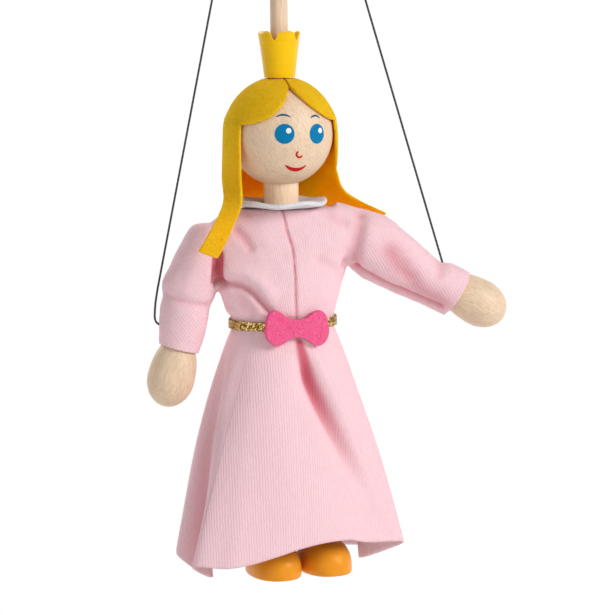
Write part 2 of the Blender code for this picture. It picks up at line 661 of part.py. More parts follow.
def make_bodice(root, shoulders, cloth):
    """The dress above the belt: a thin shell that hangs on the shoulders, open at neck and armholes."""
    hole = NECK_D / 2 + 2 * CLEAR
    low = WAIST_Z + CLEAR / 2
    tall = SHOULDER_TOP - low
    chest_a, chest_b, deep = CHEST_W / 2, CHEST_DEPTH / 2, SHOULDER_DEPTH / 2
    wide = SHOULDER_X + SOCKET_R * 0.55
    sections = [(0, WAIST_A, WAIST_B, 2.0), ((BELT_W / 2 + BELT_SPARE) / tall, WAIST_A, WAIST_B, 2.0),
                (0.22, (WAIST_A + chest_a) / 2, WAIST_B, 2.1), (0.42, chest_a, chest_b, 2.2),
                (0.62, (chest_a * 2 + wide) / 3, chest_b * 0.97, 2.4), (0.8, wide, (chest_b + deep) / 2, 2.6),
                (0.93, wide, deep, 2.6), (0.985, wide - YOKE_ROUND * 0.4, deep - YOKE_ROUND * 0.24, 2.6),
                (1.0, wide - YOKE_ROUND, deep - YOKE_ROUND * 0.44, 2.4), (1.004, hole, hole, 2.0)]
    sides = 40
    rings = []
    for share, a, b, power in sections:
        ring = []
        twist = Matrix.Rotation(-SHOULDER_TURN * min(1.0, share / BODICE_TWIST), 3, "Z")
        for i in range(sides):
            t = 2 * math.pi * i / sides
            c, s = math.cos(t), math.sin(t)
            ring.append(twist @ Vector((a * math.copysign(abs(c) ** (2 / power), c),
                                        b * math.copysign(abs(s) ** (2 / power), s), low + tall * share)))
        rings.append(ring)
    bodice = finish("dress_bodice", loft(rings), cloth, root, sharp=60)
    thicken(bodice, CLOTH, -1.0)
    for side, rest, label in ((-1, ARM_REST_RIGHT, "right"), (1, ARM_REST_LEFT, "left")):
        under = -rest - math.pi / 2
        outline = arc((0, 0), SOCKET_R, FLAP_ANGLE, under + 2 * math.pi, 20)
        spread = SLEEVE_R + SWING_CLEAR * 2
        outline.append((FAR * math.cos(-rest) + spread * math.cos(under),
                        FAR * math.sin(-rest) + spread * math.sin(under)))
        outline.append((FAR * 2, 0))
        outline.append((FAR * math.cos(FLAP_ANGLE), FAR * math.sin(FLAP_ANGLE)))
        bm = prism([(side * x, z) for x, z in outline], FAR)
        cut(bodice, finish(f"armhole_{label}", bm, None, shoulders, (side * SHOULDER_X, 0, SHOULDER_Z)))


def make_skirt(root, cloth):
    """The dress below the belt: a thin flared shell with side folds, a raised front hem and one deep pleat."""
    sides, rows = 52, 10
    top = WAIST_Z - CLEAR / 2
    rings = []
    for k in range(rows + 1):
        ring = []
        for i in range(sides):
            hem = through(HEM, i / sides, closed=True)
            turn = math.atan2(hem.y / HEM_B, hem.x / HEM_A)
            waist = Vector((WAIST_A * math.cos(turn), WAIST_B * math.sin(turn), top))
            band = Vector((waist.x, waist.y, top - BELT_W / 2 - BELT_SPARE))
            if k == 0:
                ring.append(waist)
                continue
            grow = (k - 1) / (rows - 1)
            point = band.lerp(hem, grow)
            swell = SKIRT_SWELL * math.sin(math.pi * grow)
            out = Vector((point.x, point.y, 0)).normalized()
            point += out * swell
            middle = -math.pi / 2 + PLEAT_START + PLEAT_SLANT * grow
            away = (turn - middle + math.pi) % (2 * math.pi) - math.pi
            sink = PLEAT_DEPTH * math.exp(-(away / PLEAT_WIDTH) ** 2) * math.sin(math.pi * grow) ** 0.6
            point -= out * sink
            ring.append(point)
        rings.append(ring)
    rings.reverse()
    skirt = finish("dress_skirt", loft(rings), cloth, root, sharp=60)
    thicken(skirt, CLOTH, -1.0)


def make_belt(root, gold, pink):
    def ring(grow, z):
        return [((WAIST_A + grow) * math.cos(2 * math.pi * i / 48),
                 (WAIST_B + grow) * math.sin(2 * math.pi * i / 48), z) for i in range(48)]

    low, high = WAIST_Z - BELT_W / 2, WAIST_Z + BELT_W / 2
    rings = [ring(CLEAR, low), ring(CLEAR + BELT_T, low), ring(CLEAR + BELT_T, high), ring(CLEAR, high)]
    finish("belt", loft(rings + rings[:1]), gold, root)

    w, h, k = BOW_W / 2, BOW_H / 2, BOW_KNOT_H / 2
    half = [(0, k), (0.40 * w, 0.62 * h), (0.70 * w, 0.95 * h), (0.88 * w, 0.88 * h), (0.99 * w, -0.05 * h),
            (0.80 * w, -0.93 * h), (0.62 * w, -h), (0.34 * w, -0.66 * h), (0, -k)]
    whole = half + [(-x, z) for x, z in reversed(half[1:-1])]
    smooth = [through([(x, z, 0) for x, z in whole], i / 40, closed=True) for i in range(40)]
    bm = prism([(p.x, p.y) for p in smooth], BOW_T)
    back = WAIST_B + CLEAR + BELT_T + CLEAR
    finish("bow", bm, pink, root, (0, -back - BOW_T / 2, WAIST_Z - BOW_DROP), sharp=50)


def main():
    clear_scene()
    root = empty("puppet", None, (0, 0, -ROD_TOP))
    beech = paint("beech", (0.76, 0.58, 0.39), 0.5)
    yellow = paint("yellow_paint", (0.95, 0.6, 0.02), 0.3)
    felt = paint("yellow_felt", (0.9, 0.52, 0.01), 0.95)
    white = paint("white_felt", (0.9, 0.88, 0.88), 0.95)
    jersey = paint("pink_jersey", (0.86, 0.6, 0.64), 0.9)
    gold = paint("gold_braid", (0.6, 0.4, 0.1), 0.35, 1.0)
    pink = paint("pink_felt", (0.9, 0.08, 0.27), 0.95)
    orange = paint("orange_paint", (0.9, 0.36, 0.03), 0.35)
    wire = paint("steel_wire", (0.6, 0.6, 0.6), 0.35, 1.0)
    cord = paint("black_cord", (0.02, 0.02, 0.02), 0.8)

    shoulders = empty("shoulder_turn", root, (0, 0, 0))
    shoulders.rotation_euler = (0, 0, -SHOULDER_TURN)
    make_rod(root, shoulders, beech)
    make_head(root, beech)
    make_crown(root, yellow)
    make_hair(root, felt)
    make_collar(root, white)
    hips = empty("hips", root, (HIP_ASIDE, -HIP_FORWARD, 0))
    make_torso(root, shoulders, hips, beech, wire)
    right = make_arm(shoulders, -1, ARM_REST_RIGHT, SLEEVE_FULL_RIGHT, beech, jersey, cord)
    left = make_arm(shoulders, 1, ARM_REST_LEFT, SLEEVE_FULL_LEFT, beech, jersey, cord)
    make_legs(hips, beech, orange)
    make_bodice(root, shoulders, jersey)
    make_skirt(root, jersey)
    make_belt(root, gold, pink)
    over = SLEEVE_FULL_RIGHT + STRING_OFF_SLEEVE
    knees = [arm_point(-1, ARM_REST_RIGHT, WRIST_TIE - TOUCH_BEFORE_TIE, over),
             arm_point(-1, ARM_REST_RIGHT, WRIST_TIE - LEAVE_BEFORE_TIE, over - STRING_D),
             arm_point(-1, ARM_REST_RIGHT, WRIST_TIE - STRING_D, over - STRING_BEND)]
    make_string(shoulders, -1, ARM_REST_RIGHT, knees, cord, right)
    make_string(shoulders, 1, ARM_REST_LEFT, [], cord, left)


main()
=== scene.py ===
"""Looks of the princess puppet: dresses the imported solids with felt, jersey, braid, paint and turned beech.

Laid out as an add-on and run as a script. Metres, +Z up, the top of the control rod at the origin.
"""
import math

import bmesh
import bpy
from bpy.props import FloatProperty, FloatVectorProperty, PointerProperty
from mathutils import Matrix, Vector, noise


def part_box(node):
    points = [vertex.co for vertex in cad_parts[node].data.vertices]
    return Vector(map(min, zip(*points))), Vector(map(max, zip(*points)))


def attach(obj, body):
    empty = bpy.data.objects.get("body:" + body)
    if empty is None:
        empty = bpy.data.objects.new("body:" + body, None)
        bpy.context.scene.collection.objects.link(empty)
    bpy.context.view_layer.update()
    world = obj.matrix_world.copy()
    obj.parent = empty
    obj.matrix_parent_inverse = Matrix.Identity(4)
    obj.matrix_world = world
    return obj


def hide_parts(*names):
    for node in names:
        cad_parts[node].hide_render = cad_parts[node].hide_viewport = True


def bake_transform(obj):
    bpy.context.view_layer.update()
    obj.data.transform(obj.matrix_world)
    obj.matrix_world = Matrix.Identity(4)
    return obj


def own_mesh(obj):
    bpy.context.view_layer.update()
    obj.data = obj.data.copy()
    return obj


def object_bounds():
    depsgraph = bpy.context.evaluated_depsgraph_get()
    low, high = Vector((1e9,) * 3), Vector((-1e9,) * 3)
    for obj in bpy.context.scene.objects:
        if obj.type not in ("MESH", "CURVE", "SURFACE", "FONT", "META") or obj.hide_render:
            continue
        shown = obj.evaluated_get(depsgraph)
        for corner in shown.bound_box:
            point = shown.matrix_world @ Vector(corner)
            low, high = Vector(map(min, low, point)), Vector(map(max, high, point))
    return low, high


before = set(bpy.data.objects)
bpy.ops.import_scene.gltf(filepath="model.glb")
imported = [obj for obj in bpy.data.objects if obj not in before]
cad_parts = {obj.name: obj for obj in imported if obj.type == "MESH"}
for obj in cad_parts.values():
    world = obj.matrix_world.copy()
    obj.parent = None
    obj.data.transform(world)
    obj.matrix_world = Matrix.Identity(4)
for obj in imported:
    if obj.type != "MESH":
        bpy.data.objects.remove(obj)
CAD_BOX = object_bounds()

bl_info = {
    "name": "Princess puppet",
    "version": (1, 0, 0),
    "blender": (4, 5, 0),
    "location": "View3D > Sidebar > Puppet",
    "description": "Dresses the puppet's solids with their finished pieces",
    "category": "Object",
}

# Places on the puppet, repeated from the solids
SOLES = CAD_BOX[0][2]
CLEAR = 0.0003
ROD_R = 0.003
TIE_Z = -0.011
HEAD_R = 0.018
HEAD_Z = 0.1531
NECK_R = 0.006
SHOULDER_X = 0.026
SHOULDER_Z = 0.117
SHOULDER_TOP = 0.1267
SHOULDER_TURN = math.radians(12.0)
ARM_R = 0.003
HAND_REACH = 0.0357
WRIST_TIE = HAND_REACH - 0.003
HIP_X = 0.0093
HIP_FORWARD = 0.005
HIP_ASIDE = 0.003
WAIST_Z = 0.088
WAIST_A = 0.0182
WAIST_B = 0.013
BELT_W = 0.0032
FELT_IN = HEAD_R + CLEAR
CROWN_SEAT_R = 0.0199
CROWN_BASE_Z = 0.172196
HAIR_TOP = math.radians(77.0)
HAIR_SIDE = math.radians(112.0)
SIDES = {"right": -1, "left": 1}
ARM_REST = {"right": math.radians(74.6), "left": math.radians(29.6)}
SLEEVE_FULL = 0.0108
SPREAD = {"right": math.radians(77.6), "left": math.radians(32.6)}
UP = Vector((0, 0, 1))
TWO_PI = 2 * math.pi
SAME_PLACE = 1e-6
SOFT_LEVELS = 2
BLACK, WHITE = (0.0, 0.0, 0.0), (1.0, 1.0, 1.0)
DONE = {"FINISHED"}


def at(x, y, z):
    """A place in the frame from its height above the soles."""
    return Vector((x, y, SOLES + z))


def smooth(t):
    """An even share from 0 to 1 eased at both ends."""
    t = max(0.0, min(1.0, t))
    return t * t * (3 - 2 * t)


def between(value, start, end):
    """A smooth rise from 0 to 1 as a value goes from start to end."""
    return smooth((value - start) / (end - start))


def bell(x):
    return math.exp(-x ** 2)


def ring(u):
    """A point on the unit circle, u from 0 to 1 once round."""
    return math.cos(TWO_PI * u), math.sin(TWO_PI * u)


def squarer(c, power):
    """A sine or cosine bent by a power, its sign kept."""
    return math.copysign(abs(c) ** power, c)


def turn_between(turn, start):
    """The shortest way round from one angle to another."""
    return (turn - start + math.pi) % TWO_PI - math.pi


def through(points, t, closed=False):
    """A point on the smooth curve through the given points, t from 0 to 1."""
    count = len(points)
    spans = count if closed else count - 1
    place = min(max(t, 0.0) * spans, spans - 1e-9)
    i = int(place)
    f = place - i

    def knot(k):
        return Vector(points[k % count] if closed else points[max(0, min(count - 1, k))])

    a, b, c, d = knot(i - 1), knot(i), knot(i + 1), knot(i + 2)
    return 0.5 * (2 * b + (c - a) * f + (2 * a - 5 * b + 4 * c - d) * f ** 2 + (3 * b - a - 3 * c + d) * f ** 3)


def sideways(side):
    """The direction from the rod along the turned shoulder bar."""
    return SIDES[side] * Vector((math.cos(SHOULDER_TURN), -math.sin(SHOULDER_TURN), 0))


def arm_axes(side):
    """The shoulder pin, and the arm's directions at rest: along it, out on its upper side, and across."""
    rest = ARM_REST[side]
    out = sideways(side)
    along = out * math.cos(rest) - UP * math.sin(rest)
    upper = out * math.sin(rest) + UP * math.cos(rest)
    across = Vector((math.sin(SHOULDER_TURN), math.cos(SHOULDER_TURN), 0))
    return at(0, 0, SHOULDER_Z) + out * SHOULDER_X, along, upper, across


def arm_point(side, reach, rise, aside=0.0):
    pin, along, upper, across = arm_axes(side)
    return pin + along * reach + upper * rise + across * aside


def on_head(turn, rise, radius):
    """A point about the head: turn from the front towards the puppet's left, rise from level."""
    flat = radius * math.cos(rise)
    return at(flat * math.sin(turn), -flat * math.cos(turn), HEAD_Z + radius * math.sin(rise))


# Mesh helpers

def lay_grid(bm, columns, rows, place):
    """Add a grid whose points are moved to place(u, v); its UV map keeps u and v."""
    uv = bm.loops.layers.uv.verify()
    made = bmesh.ops.create_grid(bm, x_segments=columns, y_segments=rows, size=0.5)["verts"]
    share = {vert: (vert.co.x + 0.5, vert.co.y + 0.5) for vert in made}
    for face in {face for vert in made for face in vert.link_faces}:
        for loop in face.loops:
            loop[uv].uv = share[loop.vert]
    for vert, (u, v) in share.items():
        vert.co = place(u, v)
    return made


def close_up(bm, fill=False):
    """Merge the seams of a shape, fill its open ends if wanted, and turn its faces one way."""
    bmesh.ops.remove_doubles(bm, verts=bm.verts, dist=SAME_PLACE)
    if fill:
        bmesh.ops.holes_fill(bm, edges=[e for e in bm.edges if e.is_boundary], sides=0)
    bmesh.ops.recalc_face_normals(bm, faces=bm.faces)


def face_towards(bm, face, out):
    """Turn all the faces over if the given one looks away from a direction."""
    if face.normal.dot(out) < 0:
        bmesh.ops.reverse_faces(bm, faces=bm.faces)


def verts_of(geom):
    return [item for item in geom if isinstance(item, bmesh.types.BMVert)]


def turn_profile(bm, profile, steps):
    """Spin a profile of (radius, height) points about Z."""
    verts = [bm.verts.new((r, 0, z)) for r, z in profile]
    edges = [bm.edges.new(pair) for pair in zip(verts, verts[1:])]
    if min(r for r, _ in profile) > SAME_PLACE:
        edges.append(bm.edges.new((verts[-1], verts[0])))
    bmesh.ops.spin(bm, geom=verts + edges, cent=(0, 0, 0), axis=(0, 0, 1), angle=TWO_PI, steps=steps,
                   use_merge=True)
    close_up(bm)


def rounded(profile, radius, steps=4):
    """A profile with each inner corner rounded."""
    points = [Vector(p) for p in profile]
    out = [points[0]]
    for a, b, c in zip(points, points[1:], points[2:]):
        r = min(radius, (a - b).length * 0.45, (c - b).length * 0.45)
        start, end = b + (a - b).normalized() * r, b + (c - b).normalized() * r
        for i in range(steps + 1):
            t = i / steps
            out.append(start * (1 - t) ** 2 + b * 2 * t * (1 - t) + end * t ** 2)
    return [tuple(p) for p in out + points[-1:]]


def place_in_scene(name, data):
    made = bpy.data.objects.new(name, data)
    bpy.context.scene.collection.objects.link(made)
    return made


def loose(name, bm):
    """Make an object of a bmesh."""
    mesh = bpy.data.meshes.new(name)
    bm.to_mesh(mesh)
    bm.free()
    return place_in_scene(name, mesh)


def shade_edges(made, sharp):
    """Smooth shading, with edges sharper than an angle in degrees kept."""
    made.data.shade_smooth()
    made.data.set_sharp_from_angle(angle=math.radians(sharp))


def piece(name, bm, material, body, nodes=(), sharp=45.0):
    """Make a finished piece of a bmesh, ride it on its body and let it stand for its CAD nodes."""
    made = loose(name, bm)
    shade_edges(made, sharp)
    made.data.materials.append(material)
    if body:
        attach(made, body)
    if nodes:
        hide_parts(*nodes)
    return made


def finish_solids(material, *nodes):
    """Give a material to CAD nodes that show as they are."""
    for node in nodes:
        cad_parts[node].material_slots[0].material = material


def thicken(made, thickness, offset):
    item = made.modifiers.new("thickness", "SOLIDIFY")
    item.thickness = thickness
    item.offset = offset
    item.use_even_offset = True
    return item


def soften(made):
    item = made.modifiers.new("soft", "SUBSURF")
    item.levels = item.render_levels = SOFT_LEVELS


def bake_modifiers(made):
    """Apply the modifiers of an object to its mesh."""
    bpy.context.view_layer.update()
    graph = bpy.context.evaluated_depsgraph_get()
    mesh = bpy.data.meshes.new_from_object(made.evaluated_get(graph))
    made.modifiers.clear()
    made.data = mesh


def cut_with(made, tools):
    """Cut the shapes of the tools out of a piece, and put the tools away."""
    for tool in tools:
        item = made.modifiers.new("cut", "BOOLEAN")
        item.operation = "DIFFERENCE"
        item.solver = "EXACT"
        item.object = tool
    bake_modifiers(made)
    for tool in tools:
        bpy.data.objects.remove(tool, do_unlink=True)


# Materials

BEECH_FLECK = (0.46, 0.27, 0.15)
FELT_SOAK = (1.0, 0.30, 0.03)       # how far each colour of light soaks into felt
FOLD_SHADE_RED = (0.58, 0.055, 0.10)      # painted shade of the jersey in the bottom of a fold
GOLD_PAINTED_GLINT = (1.0, 0.84, 0.50)
THREAD_TWIST = 0.0016
STEEL_DARK, STEEL = (0.5, 0.5, 0.5), (0.7, 0.7, 0.69)


def add_node(tree, kind, inputs=None, **settings):
    """Add a node; its inputs are values or the sockets that they are linked to."""
    node = tree.nodes.new(kind)
    for key, value in settings.items():
        setattr(node, key, value)
    for key, value in (inputs or {}).items():
        if isinstance(value, bpy.types.NodeSocket):
            tree.links.new(value, node.inputs[key])
        else:
            node.inputs[key].default_value = value
    return node


class Paintbox:
    """One node material, built up a node at a time."""

    def __init__(self, name, **sockets):
        self.made = bpy.data.materials.new(name)
        self.made.use_nodes = True
        self.tree = self.made.node_tree
        self.shader = self.tree.nodes["Principled BSDF"]
        for socket, value in sockets.items():
            self.shader.inputs[socket.replace("_", " ")].default_value = value

    def add(self, kind, inputs=None, **settings):
        return add_node(self.tree, kind, inputs, **settings)

    def into(self, socket, output):
        self.tree.links.new(output, self.shader.inputs[socket])

    def coordinates(self, scale=(1, 1, 1), turn=(0, 0, 0)):
        """Object coordinates, turned and then stretched."""
        place = self.add("ShaderNodeTexCoord").outputs["Object"]
        turned = self.add("ShaderNodeMapping", {"Vector": place, "Rotation": turn}).outputs["Vector"]
        return self.add("ShaderNodeMapping", {"Vector": turned, "Scale": scale}).outputs["Vector"]

    def noise(self, vector, scale, detail=3.0, roughness=0.55, distortion=0.0):
        return self.add("ShaderNodeTexNoise", {"Vector": vector, "Scale": scale, "Detail": detail,
                                               "Roughness": roughness, "Distortion": distortion}).outputs["Fac"]

    def ramp(self, value, *stops):
        node = self.add("ShaderNodeValToRGB", {"Fac": value})
        points = node.color_ramp.elements
        while len(points) < len(stops):
            points.new(0.5)
        for point, (place, colour) in zip(points, stops):
            point.position = place
            point.color = (*colour, 1.0)
        return node.outputs["Color"]

    def math(self, operation, a, b=0.0, clamp=False):
        return self.add("ShaderNodeMath", {0: a, 1: b}, operation=operation, use_clamp=clamp).outputs[0]

    def times(self, a, b):
        return self.math("MULTIPLY", a, b)

    def plus(self, a, b):
        return self.math("ADD", a, b)

    def mix(self, share, a, b):
        a, b = (c if isinstance(c, bpy.types.NodeSocket) else (*c, 1.0) for c in (a, b))
        return self.add("ShaderNodeMix", {0: share, 6: a, 7: b}, data_type="RGBA").outputs[2]

    def bump(self, height, distance, strength):
        node = self.add("ShaderNodeBump", {"Height": height, "Distance": distance, "Strength": strength})
        self.into("Normal", node.outputs["Normal"])


def shade(colour, share):
    return tuple(c * share for c in colour)


def beech(name, colour, grain, turn=(0, 0, 0)):
    """Pale beech: faint growth bands, short darker flecks along the grain and a matt wax."""
    box = Paintbox(name, Roughness=0.42, Specular_IOR_Level=0.3)
    along = box.coordinates(grain, turn=turn)
    bands = box.noise(along, 420.0, detail=2.0, roughness=0.5, distortion=0.5)
    fine = box.noise(along, 2400.0, roughness=0.6)
    flecks = box.add("ShaderNodeTexVoronoi", {"Vector": along, "Scale": 1250.0, "Randomness": 1.0})
    spot = box.ramp(flecks.outputs["Distance"], (0.06, WHITE), (0.24, BLACK))
    pale = tuple(min(1, c) for c in shade(colour, 1.04))
    base = box.ramp(bands, (0.3, shade(colour, 0.93)), (0.5, colour), (0.72, pale))
    streak = box.mix(box.ramp(fine, (0.38, shade(WHITE, 0.55)), (0.56, BLACK)), base, shade(colour, 0.72))
    box.into("Base Color", box.mix(box.times(spot, 0.4), streak, BEECH_FLECK))
    box.bump(box.plus(fine, box.times(spot, -0.5)), 0.00006, 0.5)
    return box.made


def felt(name, colour, deep, light, glow=0.0):
    """Pressed wool felt: matted darker and lighter fibres, and light that soaks through it."""
    box = Paintbox(name, Roughness=0.96, Specular_IOR_Level=0.05, Subsurface_Weight=glow, Subsurface_Scale=0.004)
    box.shader.inputs["Subsurface Radius"].default_value = FELT_SOAK
    place = box.coordinates()
    clouds = box.noise(place, 260.0, roughness=0.6)
    fibres = box.noise(place, 850.0, detail=4.0, roughness=0.72, distortion=2.6)
    fuzz = box.noise(place, 3600.0, roughness=0.7, distortion=1.2)
    base = box.mix(box.ramp(clouds, (0.32, BLACK), (0.7, WHITE)), colour, shade(colour, 0.94))
    dark = box.mix(box.ramp(fibres, (0.33, shade(WHITE, 0.9)), (0.43, BLACK)), base, deep)
    box.into("Base Color", box.mix(box.ramp(fibres, (0.46, BLACK), (0.66, shade(WHITE, 0.9))), dark, light))
    box.bump(box.plus(fibres, box.times(fuzz, 0.6)), 0.0005, 0.8)
    return box.made


def paint(name, colour, roughness, lines=0.0):
    """Brushed paint on turned wood, with the lathe's fine rings showing through by the strength of the lines."""
    box = Paintbox(name, Roughness=roughness, Specular_IOR_Level=0.5,
                   Specular_Tint=(*(0.2 + 0.8 * c for c in colour), 1.0))
    place = box.coordinates()
    cloud = box.noise(place, 160.0)
    tint = box.mix(box.ramp(cloud, (0.35, BLACK), (0.7, WHITE)), colour, shade(colour, 0.9))
    if lines:
        rings = box.noise(box.coordinates((0.02, 0.02, 1)), 2300.0, detail=2.0, roughness=0.6)
        tint = box.mix(box.times(box.ramp(rings, (0.45, BLACK), (0.7, WHITE)), 0.35), tint, shade(colour, 0.8))
        box.bump(rings, 0.00012, lines)
    box.into("Base Color", tint)
    return box.made


def face_paint(name, colour):
    """Thin matt paint, laid on unevenly."""
    box = Paintbox(name, Roughness=0.35, Specular_IOR_Level=0.06)
    cloud = box.noise(box.coordinates(), 900.0)
    box.into("Base Color", box.mix(box.ramp(cloud, (0.3, BLACK), (0.75, WHITE)), colour, shade(colour, 0.78)))
    return box.made


def jersey(name, colour, groove_shade, pitch):
    """Fine rib jersey: 'wale' and 'course' place its stitches, the groove colour is painted shade between the wales,
    and 'deep' paints shade into its folds as a deeper red.
    """
    box = Paintbox(name, Roughness=0.92, Specular_IOR_Level=0.08)
    wale = box.add("ShaderNodeAttribute", attribute_name="wale").outputs["Fac"]
    course = box.add("ShaderNodeAttribute", attribute_name="course").outputs["Fac"]
    place = box.coordinates()
    wander = box.times(box.math("SUBTRACT", box.noise(place, 420.0, detail=2.0), 0.5), pitch * 0.9)
    rib = box.math("SINE", box.times(box.plus(wale, wander), TWO_PI / pitch))
    bent = box.plus(course, box.times(box.math("ABSOLUTE", rib), pitch * 0.35))
    stitch = box.math("SINE", box.times(bent, TWO_PI / (pitch * 0.8)))
    yarn = box.noise(place, 2600.0, roughness=0.7)
    height = box.plus(box.times(rib, 0.5), box.times(stitch, 0.09))
    dip = box.ramp(height, (0.0, WHITE), (0.42, BLACK))
    patch = box.ramp(box.noise(place, 700.0, roughness=0.7), (0.35, BLACK), (0.68, WHITE))
    low = box.times(dip, box.plus(0.02, box.times(patch, 0.20)))
    clouds = box.ramp(box.noise(place, 95.0), (0.3, BLACK), (0.75, WHITE))
    base = box.mix(box.times(clouds, 0.4), colour, shade(colour, 0.95))
    # painted shade: the groove colour darkens the cloth between the wales
    knit = box.mix(low, base, groove_shade)
    # painted shade: 'deep' mixes the dark red of a fold's bottom into the cloth
    deep = box.add("ShaderNodeAttribute", attribute_name="deep").outputs["Fac"]
    box.into("Base Color", box.mix(box.math("MULTIPLY", deep, 0.85, clamp=True), knit, FOLD_SHADE_RED))
    box.bump(box.plus(height, box.times(yarn, 1.1)), 0.00015, 0.55)
    return box.made


def braid(name, colour, dark):
    """Metal braid, with painted glints on its thread and painted shade in its gaps."""
    box = Paintbox(name, Metallic=0.9, Roughness=0.3)
    place = box.coordinates()
    glint = box.noise(place, 1400.0, detail=2.0, roughness=0.7)
    thread = box.noise(box.coordinates((1, 1, 0.3)), 4200.0, detail=2.0, roughness=0.6)
    # painted light: the dark colour is painted shade in the gaps, the brightest a painted glint
    box.into("Base Color", box.ramp(glint, (0.43, dark), (0.54, colour), (0.68, GOLD_PAINTED_GLINT)))
    box.bump(thread, 0.0002, 0.8)
    return box.made


def cord_finish(name, colour):
    """Twisted black thread, its turns following the cord's own UV map."""
    box = Paintbox(name, Roughness=0.62, Sheen_Weight=0.2)
    parts = box.add("ShaderNodeSeparateXYZ", {"Vector": box.add("ShaderNodeTexCoord").outputs["UV"]})
    twist = box.math("SINE", box.plus(box.times(parts.outputs["X"], 2 * TWO_PI),
                                      box.times(parts.outputs["Y"], TWO_PI / THREAD_TWIST)))
    box.into("Base Color", box.ramp(twist, (0.0, colour), (0.9, shade(colour, 2.6))))
    box.bump(twist, 0.00008, 0.8)
    return box.made


def wire(name):
    """Drawn steel wire."""
    box = Paintbox(name, Metallic=1.0, Roughness=0.32)
    lines = box.noise(box.coordinates((1, 0.1, 1)), 2200.0, detail=2.0)
    box.into("Base Color", box.ramp(lines, (0.3, STEEL_DARK), (0.7, STEEL)))
    return box.made


# Sizes and colours that a user may change

def colour_setting(name, what, value):
    return FloatVectorProperty(name=name, description=what, subtype="COLOR", default=value)


def length_setting(name, what, value):
    return FloatProperty(name=name, description=what, unit="LENGTH", default=value)


def angle_setting(name, what, degrees):
    return FloatProperty(name=name, description=what, subtype="ANGLE", default=math.radians(degrees))


class PuppetWood(bpy.types.PropertyGroup):
    beech: colour_setting("Beech", "Colour of the bare wood", (0.80, 0.595, 0.415))
    crown: colour_setting("Crown", "Paint of the crown", (0.95, 0.56, 0.005))
    shoes: colour_setting("Shoes", "Paint of the shoes", (0.88, 0.33, 0.02))
    eyes: colour_setting("Eyes", "Paint of the eyes, darker on the brows", (0.003, 0.20, 0.42))
    lips: colour_setting("Lips", "Paint of the nose and mouth", (0.56, 0.016, 0.02))


class PuppetFelt(bpy.types.PropertyGroup):
    thickness: length_setting("Thickness", "Thickness of the hair felt", 0.0013)
    hair: colour_setting("Hair", "Colour of the hair felt", (1.0, 0.51, 0.006))
    collar: colour_setting("Collar", "Colour of the collar felt", (0.86, 0.84, 0.86))
    bow: colour_setting("Bow", "Colour of the bow felt", (1.0, 0.105, 0.285))


class PuppetDress(bpy.types.PropertyGroup):
    cloth: length_setting("Cloth", "Thickness of the jersey", 0.0008)
    pitch: length_setting("Wale pitch", "Distance between two wales", 0.00095)
    colour: colour_setting("Jersey", "Colour of the jersey", (0.90, 0.62, 0.66))
    # painted shade between the wales
    groove_shade: colour_setting("Groove", "Colour between the wales", (0.74, 0.33, 0.40))
    gold: colour_setting("Braid", "Colour of the belt's metal thread", (0.62, 0.38, 0.08))


class PuppetStrings(bpy.types.PropertyGroup):
    diameter: length_setting("Diameter", "Thickness of a string", 0.00075)
    colour: colour_setting("String", "Colour of the strings", (0.012, 0.012, 0.012))


class PuppetView(bpy.types.PropertyGroup):
    azimuth: angle_setting("Azimuth", "The camera's side of the puppet", -18.5)
    distance: length_setting("Distance", "From the rod to the camera", 0.9)
    height: length_setting("Height", "The camera above the soles", 0.215)
    aside: angle_setting("Aside", "How far the camera looks past the rod", -0.549)
    down: angle_setting("Down", "How far the camera looks down", 7.746)
    roll: angle_setting("Roll", "The camera's lean", -0.664)
    lens: FloatProperty(name="Lens", description="Focal length in millimetres", unit="CAMERA", default=153.37)


# The stage

SENSOR = 36.0
LOOK_AT = 0.1
# Lamps: place from the puppet's middle, size and power
LAMPS = {
    "key": ((0.62, -0.80, 0.50), 0.45, 8.5),
    "fill": ((-0.9, -0.5, 0.3), 0.8, 1.6),
    "rim": ((-0.2, 0.9, 0.6), 0.7, 6.0),
}
ROOM_LIGHT = 0.33
FLOOR_BELOW = -0.06
FLOOR_HALF = 3.0
SHADOW_IN, SHADOW_OUT = 0.05, 0.16      # the floor's shadow fades out between these distances
SHADOW_WHITE = 0.55


